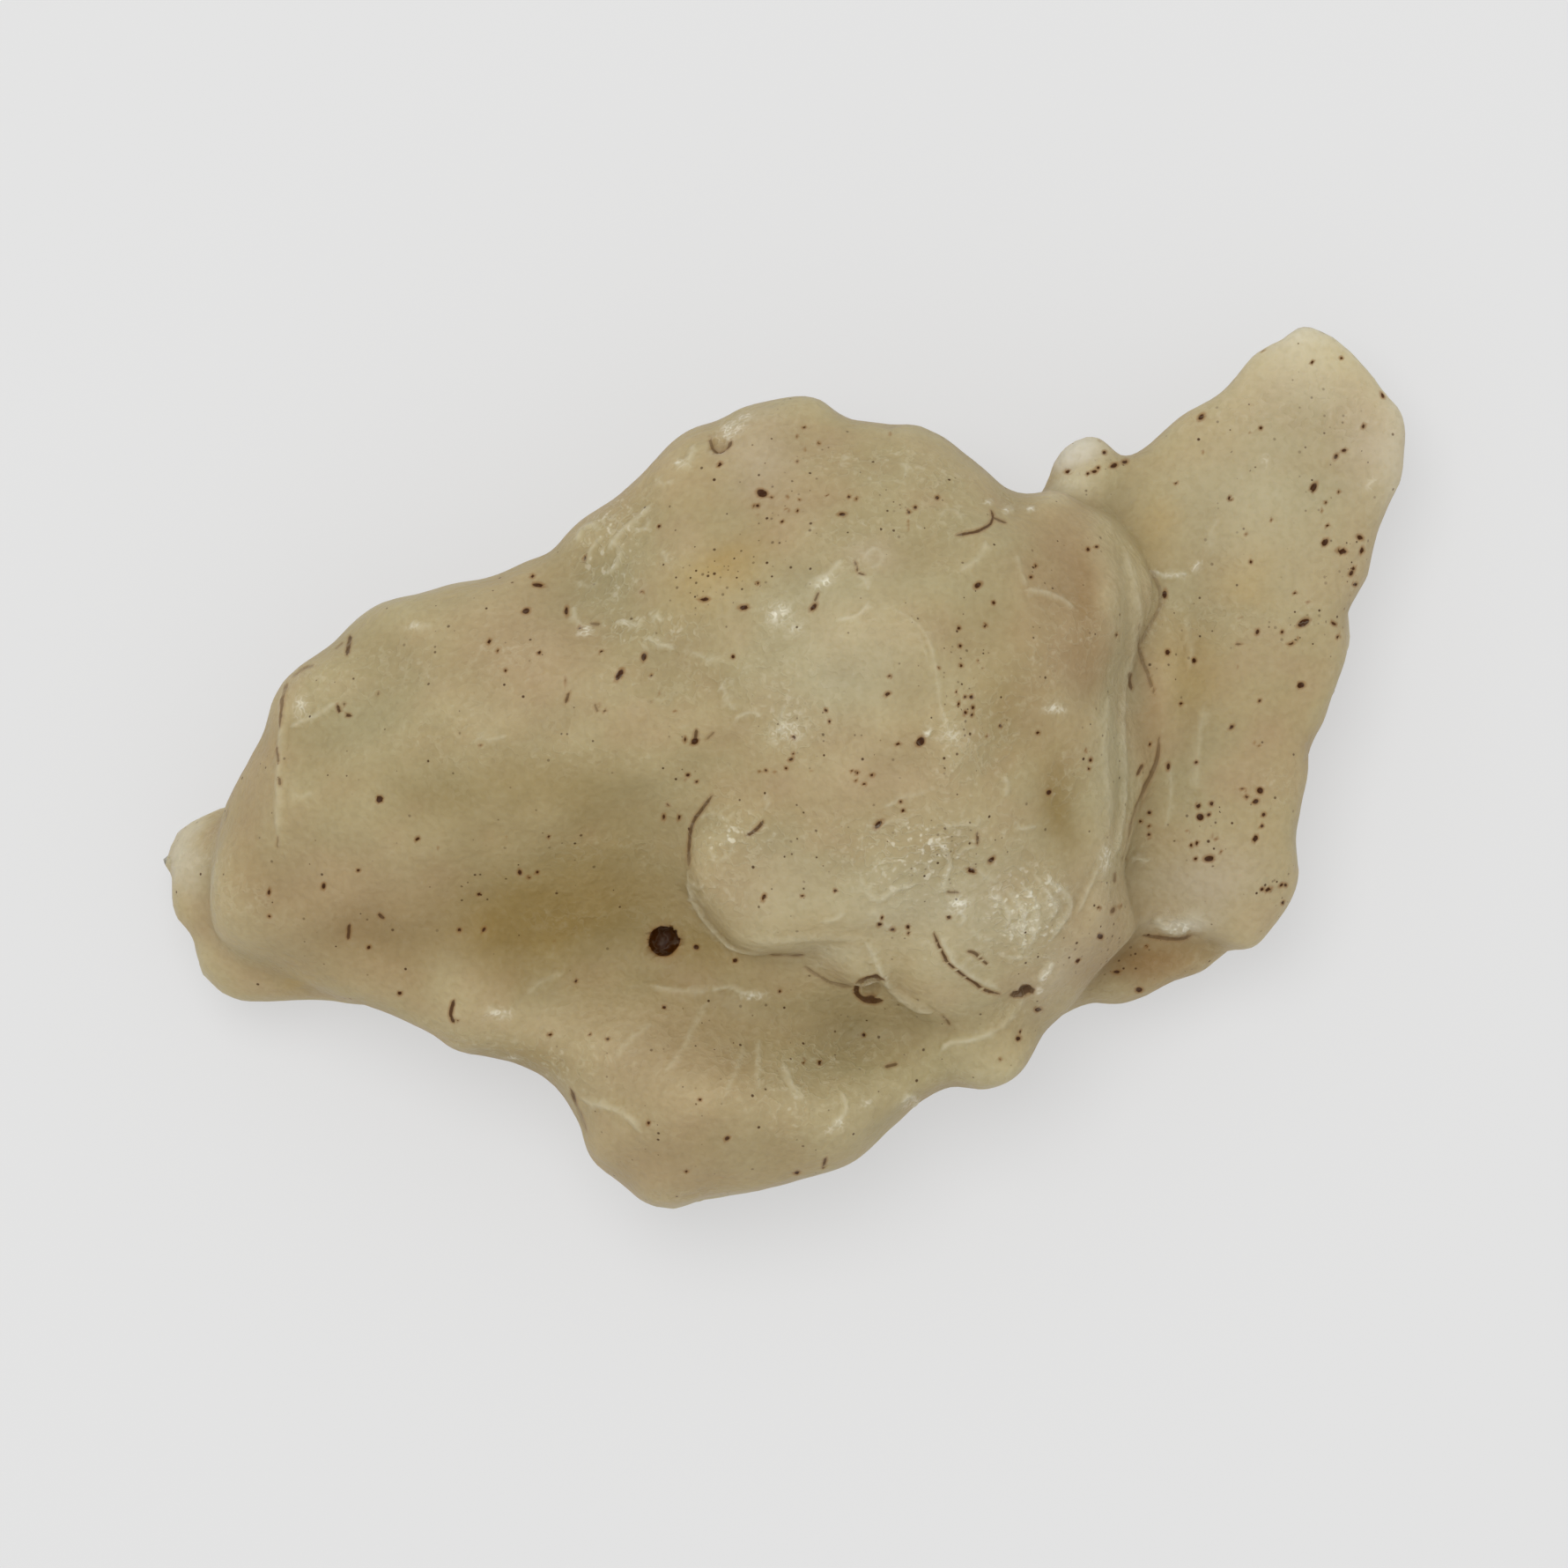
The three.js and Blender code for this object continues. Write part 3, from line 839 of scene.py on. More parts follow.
@dataclass
class Face:
    """The upper face while it takes its marks: where its points lie, and what the marks have done.

    An inked mark has a sharp edge, finer than the faces, so each point keeps the distance to that edge,
    less than nothing inside it, and the material draws the edge from that.
    """

    x: Array
    y: Array
    rise: Array
    ink: Array
    edge: Array
    halo: Array
    pale: Array
    frost_and_glint: Array
    grit: Array

    @classmethod
    def blank(cls, points: Array) -> "Face":
        """A face without marks. Its points' places wander a little, so that no mark has a ruled edge.

        Args:
            points: the skin's points, shape (n, 3).

        Returns:
            The face.
        """
        x = points[:, 0] + WANDER * WANDER_X.over(points)
        y = points[:, 1] + WANDER * WANDER_Y.over(points)
        rise, ink, halo, pale, frost_and_glint = np.zeros((5, len(points)))
        edge = np.full(len(points), INK_REACH)
        return cls(x, y, rise, ink, edge, halo, pale, frost_and_glint, GRIT.over(points))

    def near(self, mark: "Mark", margin: float) -> Array:
        """Finds the points near a mark.

        Args:
            mark: the mark.
            margin: how far beyond the box round the mark they may lie.

        Returns:
            The points' numbers.
        """
        low, high = mark.reach_box()
        inside = (self.x > low[0] - margin) & (self.x < high[0] + margin)
        inside &= (self.y > low[1] - margin) & (self.y < high[1] + margin)
        return np.flatnonzero(inside)

    def deepen(self, name: str, points: Array, strength: Array) -> None:
        """Raises one of the face's strengths to a new strength where that is more."""
        values = getattr(self, name)
        values[points] = np.maximum(values[points], strength)

    def draw(self, points: Array, gap: Array, ink: Array | float) -> None:
        """Draws an inked mark: points to which it is the nearest one take its distance and its ink.

        Args:
            points: the numbers of the points near the mark.
            gap: their distances to the mark's edge, less than nothing inside it.
            ink: how dark the mark is.
        """
        nearest = gap < self.edge[points]
        self.edge[points[nearest]] = gap[nearest]
        self.ink[points[nearest]] = np.broadcast_to(ink, gap.shape)[nearest]


class Mark:
    """A small mark on the upper face."""

    cuts = 2  # how many times the faces near it are cut finer

    def reach_box(self) -> tuple[Point, Point]:
        """The lowest and the highest corner of the box round it."""
        raise NotImplementedError

    def gap(self, x: Array, y: Array) -> Array:
        """The distance from each point to the mark's edge."""
        raise NotImplementedError

    def press(self, face: Face) -> None:
        """Presses the mark into the face."""
        raise NotImplementedError


@dataclass(frozen=True)
class Speck(Mark):
    """A small open pit with brown dust in it."""

    at: Point
    radius: float = 0.08
    stretch: float = 1.0
    turn: float = 0.0
    ink: float = 1.0

    cuts = 3
    SINK = 0.5  # its depth, in radii
    INKED = 1.1  # how far its ink reaches, in radii

    def reach_box(self) -> tuple[Point, Point]:
        """The lowest and the highest corner of the box round it."""
        far = self.radius * self.stretch
        return (self.at[0] - far, self.at[1] - far), (self.at[0] + far, self.at[1] + far)

    def radii(self, x: Array, y: Array) -> Array:
        """How many of its own radii each point lies from the speck's middle.

        Args:
            x: the points' X.
            y: the points' Y.

        Returns:
            The distances in radii, in the shape of x.
        """
        turn = math.radians(self.turn)
        dx, dy = x - self.at[0], y - self.at[1]
        along = (dx * math.cos(turn) + dy * math.sin(turn)) / (self.radius * self.stretch)
        across = (dy * math.cos(turn) - dx * math.sin(turn)) / self.radius
        return np.hypot(along, across)

    def gap(self, x: Array, y: Array) -> Array:
        """The distance from each point to the speck's edge."""
        return (self.radii(x, y) - 1) * self.radius

    def press(self, face: Face) -> None:
        """Sinks the speck, by e to the minus (radii squared), and inks it.

        Args:
            face: the face that takes the speck.
        """
        near = face.near(self, INK_REACH)
        radii = self.radii(face.x[near], face.y[near])
        face.rise[near] -= self.SINK * self.radius * np.exp(-(radii**2))
        face.draw(near, (radii - self.INKED) * self.radius, self.ink)


@dataclass(frozen=True)
class Thread(Mark):
    """A thread along a smooth line on the face, which thins out to its two ends."""

    line: tuple[Point, ...]
    width: float

    TAPER = 6  # how fast it fills out from its ends
    END = 0.35  # how full it is at its ends

    def reach_box(self) -> tuple[Point, Point]:
        """The lowest and the highest corner of the box round it."""
        line = np.array(self.line)
        return tuple(line.min(axis=0) - self.width), tuple(line.max(axis=0) + self.width)

    def gap(self, x: Array, y: Array) -> Array:
        """The distance from each point to the thread's edge."""
        return gap_to_line(x, y, self.line)[0] - self.width

    def widths(self, face: Face, near: Array) -> tuple[Array, Array]:
        """How far from the thread points lie.

        Args:
            face: the face.
            near: the points' numbers.

        Returns:
            The distances in the thread's own widths, and how full the thread is beside each point.
        """
        gap, along = gap_to_line(face.x[near], face.y[near], open_curve(self.line))
        full = np.clip(self.TAPER * np.minimum(along, 1 - along) + self.END, 0, 1)
        return gap / (self.width * full), full


@dataclass(frozen=True)
class Crack(Thread):
    """A hair crack or the edge of a burst blister, brown with dust."""

    ink: float = 0.8

    cuts = 3
    SINK = 0.7  # its depth, in widths
    INKED = 1.2  # how far its ink reaches, in widths
    INK_SHARE = 0.6  # the share of its ink that it has all along
    INK_FILL = 0.25  # the share that is added where it is full

    def press(self, face: Face) -> None:
        """Sinks the crack, by e to the minus (widths squared), and inks it.

        Args:
            face: the face that takes the crack.
        """
        near = face.near(self, INK_REACH)
        widths, full = self.widths(face, near)
        face.rise[near] -= self.SINK * self.width * full * np.exp(-(widths**2))
        ink = self.ink * (self.INK_SHARE + self.INK_FILL * full)
        face.draw(near, (widths - self.INKED) * self.width * full, ink)


@dataclass(frozen=True)
class Wrinkle(Thread):
    """A raised wrinkle in the glass, paler along its crest."""

    rise: float = 0.1
    pale: float = 0.5

    REACH = 4  # how far it reaches, in widths
    GROOVE_AT = 1.9  # where the groove beside it lies, in widths
    GROOVE_WIDTH = 0.8
    GROOVE_SINK = 0.3  # the groove's depth beside the wrinkle's rise
    WHOLE = 0.8  # how whole its crest is
    GRITTY = 0.35  # how much the grit breaks it up

    def press(self, face: Face) -> None:
        """Raises the wrinkle, with a groove on either side, and pales its crest.

        The crest is e to the minus (widths squared), and so is the groove round its own middle.

        Args:
            face: the face that takes the wrinkle.
        """
        near = face.near(self, self.REACH * self.width)
        widths, full = self.widths(face, near)
        crest = np.exp(-(widths**2))
        groove = np.exp(-(((widths - self.GROOVE_AT) / self.GROOVE_WIDTH) ** 2))
        broken = self.WHOLE + self.GRITTY * face.grit[near]
        face.rise[near] += self.rise * full * broken * (crest - self.GROOVE_SINK * groove)
        face.deepen("pale", near, self.pale * full * broken * crest)


@dataclass(frozen=True)
class Bubble(Mark):
    """A burst gas bubble: a round pit, with a dark floor where it has much ink."""

    at: Point
    radius: float
    depth: float
    ink: float

    cuts = 3
    HALO = 0.6  # how strong the stain round it is beside its ink
    HALO_REACH = 1.25  # in radii
    HALO_FLAT = 4  # the power that gives the stain an even middle and a quick edge

    def reach_box(self) -> tuple[Point, Point]:
        """The lowest and the highest corner of the box round it."""
        return tuple(np.array(self.at) - self.radius), tuple(np.array(self.at) + self.radius)

    def gap(self, x: Array, y: Array) -> Array:
        """The distance from each point to the bubble's edge."""
        return np.hypot(x - self.at[0], y - self.at[1]) - self.radius

    def press(self, face: Face) -> None:
        """Sinks the bubble as half an ellipsoid, stains the glass round it and inks its floor.

        Args:
            face: the face that takes the bubble.
        """
        near = face.near(self, INK_REACH)
        gap = self.gap(face.x[near], face.y[near])
        radii = 1 + gap / self.radius
        face.rise[near] -= self.depth * np.sqrt(np.clip(1 - radii**2, 0, 1))
        halo = self.ink * self.HALO * np.exp(-((radii / self.HALO_REACH) ** self.HALO_FLAT))
        face.deepen("halo", near, halo)
        if self.ink > FAINT_INK:
            face.draw(near, gap, self.ink)


@dataclass(frozen=True)
class Bruise(Mark):
    """A bruise: a patch of tiny white cracks that stand a little proud. Where light glints on the glass,
    its white is painted highlight.
    """

    name: str
    at: Point
    reach: Point
    strength: float
    turn: float = 0.0

    cuts = 1
    REACH = 1.5  # how far it reaches, beside its own reach
    RISE = 0.07
    GRIT_MIDDLE = 0.5
    GRIT_GAIN = 2.5
    FROST_AND_GLINT = 0.35  # how white it is between its cracks
    CRACK_FROST = 0.65  # how much whiter its cracks are

    def patch(self) -> Mound:
        """The bruise's strength as a mound."""
        return Mound(self.name, self.at, self.reach, self.strength, self.turn)

    def reach_box(self) -> tuple[Point, Point]:
        """The lowest and the highest corner of the box round it."""
        far = self.REACH * max(self.reach)
        return (self.at[0] - far, self.at[1] - far), (self.at[0] + far, self.at[1] + far)

    def gap(self, x: Array, y: Array) -> Array:
        """The distance from each point to the bruise's edge, nearly."""
        return np.hypot(x - self.at[0], y - self.at[1]) - max(self.reach)

    def press(self, face: Face) -> None:
        """Raises the bruise's grit and frosts it, which in places paints a highlight.

        Args:
            face: the face that takes the bruise.
        """
        near = face.near(self, max(self.reach))
        strength = self.patch().height(face.x[near], face.y[near])
        grit = np.clip(self.GRIT_MIDDLE + self.GRIT_GAIN * face.grit[near], 0, 1)
        face.rise[near] += self.RISE * strength * grit
        face.deepen("frost_and_glint", near, strength * (self.FROST_AND_GLINT + self.CRACK_FROST * grit))


# Wrinkles: line, width, rise and paleness.
WRINKLES = (
    # Left shoulder of the crest
    (((-9.4, 10.9), (-9.1, 11.5), (-8.6, 11.7), (-8.4, 11.4)), 0.13, 0.1, 0.55),
    (((-8.9, 9.9), (-8.7, 10.6), (-8.2, 11.1)), 0.1, 0.08, 0.45),
    (((-8.0, 10.5), (-7.4, 11.3), (-6.6, 12.0), (-6.0, 12.6)), 0.13, 0.12, 0.6),
    (((-8.1, 9.4), (-7.6, 9.8), (-7.4, 10.5), (-7.8, 11.0)), 0.13, 0.1, 0.55),
    (((-9.2, 9.2), (-8.9, 8.9), (-8.4, 9.0)), 0.1, 0.06, 0.35),
    (((-9.4, 8.0), (-9.4, 7.5), (-9.1, 7.1)), 0.13, 0.1, 0.6),
    (((-6.9, 11.8), (-6.6, 11.4), (-6.1, 11.7), (-6.2, 12.1)), 0.1, 0.06, 0.4),
    (((-4.9, 14.5), (-4.4, 14.4), (-4.2, 14.7), (-4.0, 15.3)), 0.16, 0.1, 0.5),
    (((-5.8, 13.8), (-5.4, 13.5), (-5.0, 13.7)), 0.1, 0.07, 0.45),
    (((-7.6, 7.2), (-7.1, 7.3), (-6.6, 7.1), (-6.4, 7.5)), 0.13, 0.14, 0.7),
    (((-6.1, 7.6), (-5.8, 7.6), (-5.4, 7.3)), 0.13, 0.14, 0.75),
    (((-6.2, 6.7), (-5.8, 6.3), (-5.3, 6.2), (-4.9, 6.1)), 0.13, 0.12, 0.7),
    (((-4.6, 6.0), (-3.9, 5.8), (-3.4, 5.6), (-2.7, 5.5)), 0.1, 0.09, 0.5),
    (((-5.5, 10.5), (-5.3, 10.2), (-5.2, 9.9)), 0.1, 0.07, 0.5),
    # Middle of the crest
    (((-2.8, 4.6), (-2.6, 4.0), (-2.4, 3.5), (-2.1, 3.3)), 0.1, 0.09, 0.5),
    (((-2.2, 2.9), (-1.9, 3.1), (-1.4, 3.2), (-1.0, 3.0)), 0.1, 0.09, 0.5),
    (((0.1, 3.6), (-0.1, 3.1), (-0.1, 2.6), (-0.3, 2.2)), 0.13, 0.08, 0.5),
    (((1.0, 8.8), (1.4, 9.1), (2.1, 9.5), (2.6, 10.1)), 0.16, 0.1, 0.55),
    (((3.3, 9.4), (3.6, 9.1), (3.8, 8.7)), 0.13, 0.08, 0.5),
    (((2.3, 7.3), (2.9, 7.4), (3.4, 7.6), (3.8, 8.2)), 0.1, 0.1, 0.5),
    (((3.5, 10.0), (3.8, 10.4), (4.2, 10.5), (4.4, 10.2), (4.2, 9.8), (3.8, 9.7)), 0.1, 0.07, 0.35),
    # Crown
    (((4.6, 8.1), (5.4, 7.5), (6.1, 7.0), (6.6, 6.0), (6.8, 5.0), (7.0, 3.6), (7.2, 2.7), (7.6, 2.0),
      (8.1, 1.3)), 0.1, 0.07, 0.25),
    (((5.6, 7.5), (6.0, 6.7), (6.4, 5.7)), 0.08, 0.05, 0.2),
    (((7.8, 9.5), (8.6, 10.0), (8.9, 10.4), (9.1, 10.9)), 0.16, 0.1, 0.4),
    (((7.0, 11.9), (7.3, 12.3), (7.8, 12.2), (8.0, 11.8)), 0.1, 0.07, 0.3),
    (((10.8, 8.7), (11.6, 8.6), (12.4, 8.3), (13.0, 7.9)), 0.13, 0.12, 0.45),
    (((10.4, 10.3), (10.6, 9.6), (10.9, 8.9)), 0.13, 0.07, 0.3),
    (((9.1, 12.6), (9.4, 12.8)), 0.13, 0.07, 0.4),
    (((9.9, 12.3), (10.2, 12.5), (10.3, 12.2)), 0.1, 0.07, 0.4),
    (((11.0, 12.3), (11.3, 12.5)), 0.1, 0.06, 0.4),
    (((6.2, 2.1), (6.5, 2.3), (6.5, 2.6)), 0.1, 0.08, 0.5),
    (((5.2, 14.4), (5.5, 14.2), (5.4, 13.8)), 0.1, 0.07, 0.45),
    (((2.6, 14.8), (2.9, 14.6)), 0.13, 0.06, 0.5),
    # Brow
    (((-4.3, -3.9), (-4.2, -4.8), (-3.8, -5.8), (-3.0, -6.8), (-2.3, -7.4), (-1.3, -7.6),
      (-0.6, -7.6)), 0.13, 0.16, 0.65),
    (((-4.2, -4.4), (-3.9, -4.7), (-3.6, -4.6)), 0.08, 0.06, 0.4),
    (((-4.2, -5.0), (-3.8, -5.2), (-3.6, -5.6)), 0.08, 0.06, 0.4),
    (((-3.3, -2.6), (-3.0, -2.4), (-2.4, -2.6), (-2.4, -3.1), (-2.8, -3.4), (-3.3, -3.1),
      (-3.3, -2.6)), 0.1, 0.06, 0.35),
    (((-3.8, -1.5), (-3.1, -1.3), (-2.6, -1.6), (-2.2, -1.2)), 0.1, 0.06, 0.3),
    (((-0.9, -0.5), (-0.7, -0.9), (-0.9, -1.2)), 0.1, 0.07, 0.4),
    (((1.7, -6.2), (2.2, -6.1), (2.7, -5.8)), 0.13, 0.08, 0.5),
    (((-1.6, -7.0), (-0.4, -7.1), (0.8, -6.9), (2.4, -6.9), (3.6, -6.9)), 0.16, 0.08, 0.3),
    (((-3.4, -9.4), (-2.5, -9.2), (-1.8, -9.5), (-1.0, -9.6)), 0.1, 0.1, 0.5),
    # Chin
    (((3.6, -7.0), (4.1, -7.8), (4.5, -8.7), (5.0, -9.4), (6.0, -10.1), (6.7, -10.3)), 0.16, 0.2, 0.5),
    (((3.4, -4.0), (3.6, -4.7), (4.2, -5.2), (4.7, -4.9), (5.3, -4.6), (6.0, -4.5)), 0.13, 0.12, 0.5),
    (((4.0, -5.6), (4.4, -6.2), (5.0, -6.5)), 0.13, 0.1, 0.55),
    (((6.3, -2.7), (6.9, -2.6), (7.2, -3.0), (7.4, -3.6), (7.2, -4.4), (7.2, -5.0)), 0.13, 0.14, 0.6),
    (((7.4, -1.9), (8.0, -1.8), (8.6, -1.8), (8.7, -1.4)), 0.1, 0.1, 0.5),
    (((3.9, -2.2), (4.4, -1.8), (5.0, -1.6), (5.6, -1.8)), 0.1, 0.08, 0.4),
    (((4.4, -1.1), (5.1, -0.7), (5.8, -0.5), (6.4, -0.4)), 0.1, 0.08, 0.4),
    (((6.2, -3.8), (6.6, -3.4), (7.1, -3.3)), 0.08, 0.06, 0.35),
    (((7.6, -3.4), (8.1, -2.9), (8.6, -2.8)), 0.1, 0.08, 0.45),
    (((8.7, -3.8), (9.1, -4.2), (9.6, -4.4)), 0.1, 0.08, 0.45),
    (((9.2, -5.0), (9.8, -5.3), (10.1, -5.8), (10.0, -6.4)), 0.13, 0.12, 0.6),
    (((10.0, -4.8), (10.5, -5.3), (10.8, -6.0), (10.7, -6.7)), 0.13, 0.12, 0.6),
    (((10.7, -4.6), (11.2, -5.1), (11.4, -5.8), (11.3, -6.6), (11.0, -7.3)), 0.13, 0.12, 0.55),
    (((11.6, -4.2), (12.2, -4.5), (12.8, -5.1), (12.8, -5.8), (12.3, -6.5), (12.0, -7.0)), 0.13, 0.13, 0.6),
    (((11.2, -4.0), (11.8, -4.8), (12.2, -5.5), (11.9, -6.2)), 0.1, 0.1, 0.5),
    (((10.3, -1.6), (10.6, -2.0), (11.3, -1.9)), 0.1, 0.09, 0.5),
    (((9.8, 0.4), (10.0, -0.1), (9.8, -0.6)), 0.13, 0.08, 0.5),
    (((7.0, -6.7), (7.4, -7.6), (8.0, -8.3), (8.6, -8.7), (9.4, -9.1), (9.8, -9.3)), 0.13, 0.12, 0.55),
    (((7.8, -5.6), (8.1, -6.0), (7.8, -6.4)), 0.1, 0.08, 0.5),
    (((8.4, -6.5), (8.9, -6.9), (9.4, -7.0)), 0.1, 0.09, 0.45),
    (((9.6, -7.6), (10.2, -7.8), (10.8, -7.8)), 0.1, 0.09, 0.5),
    # Right flank
    (((15.4, 4.4), (15.3, 2.4), (15.4, 0.4), (15.3, -1.2), (15.1, -2.6), (14.8, -3.4)), 0.13, 0.12, 0.4),
    (((14.6, 3.8), (14.4, 1.6), (14.6, -0.4), (14.6, -2.2)), 0.18, 0.1, 0.3),
    (((15.4, 10.7), (15.8, 9.2), (16.0, 7.6), (15.8, 6.0), (15.4, 4.4)), 0.21, 0.12, 0.3),
    (((14.2, -3.8), (13.7, -4.7), (13.3, -5.8)), 0.1, 0.1, 0.45),
    (((7.1, -12.1), (7.5, -11.7), (8.2, -11.6), (9.0, -11.4), (9.7, -11.1)), 0.16, 0.16, 0.5),
    (((9.7, -11.1), (10.4, -10.3), (11.0, -9.4)), 0.16, 0.1, 0.3),
    (((11.5, -8.9), (11.9, -8.3), (12.2, -8.1)), 0.16, 0.08, 0.6),
    # Lower lobe
    (((-9.2, -14.2), (-8.2, -14.5), (-7.2, -14.9), (-6.4, -15.7)), 0.16, 0.16, 0.5),
    (((-3.4, -9.8), (-4.0, -10.8), (-4.7, -12.2), (-5.4, -13.0)), 0.16, 0.07, 0.3),
    (((-1.1, -11.6), (-1.2, -12.6), (-1.1, -13.8)), 0.13, 0.08, 0.4),
    (((-1.8, -11.8), (-2.1, -12.8), (-2.6, -14.0)), 0.13, 0.06, 0.3),
    (((-0.1, -12.6), (0.4, -13.6), (0.9, -14.3)), 0.16, 0.14, 0.6),
    (((2.6, -13.9), (2.8, -14.6), (2.4, -15.2), (2.2, -15.6)), 0.13, 0.12, 0.6),
    (((5.3, -14.4), (5.6, -14.1), (6.0, -14.4), (5.8, -14.7)), 0.1, 0.1, 0.6),
    (((-6.0, -9.1), (-5.2, -9.3), (-4.0, -9.4), (-3.4, -9.4)), 0.16, 0.08, 0.35),
    (((-13.4, -10.0), (-13.0, -10.4), (-12.5, -10.3)), 0.18, 0.08, 0.45),
    (((-11.6, -9.5), (-11.0, -9.0), (-10.0, -8.6)), 0.16, 0.06, 0.3),
    (((-7.6, -12.4), (-7.0, -11.6), (-6.0, -10.8)), 0.16, 0.05, 0.25),
    # Left lobe
    (((-22.6, 4.6), (-22.7, 2.4), (-22.8, 0.0), (-22.8, -2.8)), 0.16, 0.14, 0.3),
    (((-22.3, 2.6), (-21.4, 3.0), (-20.6, 3.4), (-20.2, 3.7)), 0.13, 0.12, 0.5),
    (((-13.8, 2.3), (-13.2, 2.0), (-12.4, 2.2)), 0.1, 0.08, 0.4),
    (((-22.2, -0.4), (-21.8, -0.6), (-21.3, -0.3)), 0.13, 0.06, 0.3),
    (((-16.8, 7.4), (-16.4, 7.0), (-15.8, 7.2)), 0.16, 0.06, 0.35),
    # Fin
    (((16.6, 9.7), (17.1, 9.5), (17.7, 9.5), (18.3, 9.6)), 0.1, 0.12, 0.7),
    (((17.3, 1.2), (17.6, -0.4), (17.3, -2.0)), 0.13, 0.07, 0.3),
    (((19.1, 3.6), (18.8, 1.6), (18.7, -0.4)), 0.18, 0.08, 0.3),
    (((19.7, 12.1), (19.4, 11.4), (19.4, 10.6)), 0.13, 0.06, 0.35),
    (((18.2, 7.6), (18.5, 6.4), (18.4, 5.2)), 0.16, 0.06, 0.25),
    (((16.9, -6.0), (17.3, -6.5), (17.9, -6.7), (18.4, -6.6)), 0.21, 0.14, 0.6),
    (((15.8, -3.3), (16.2, -3.4), (16.6, -3.5)), 0.08, 0.06, 0.5),
)

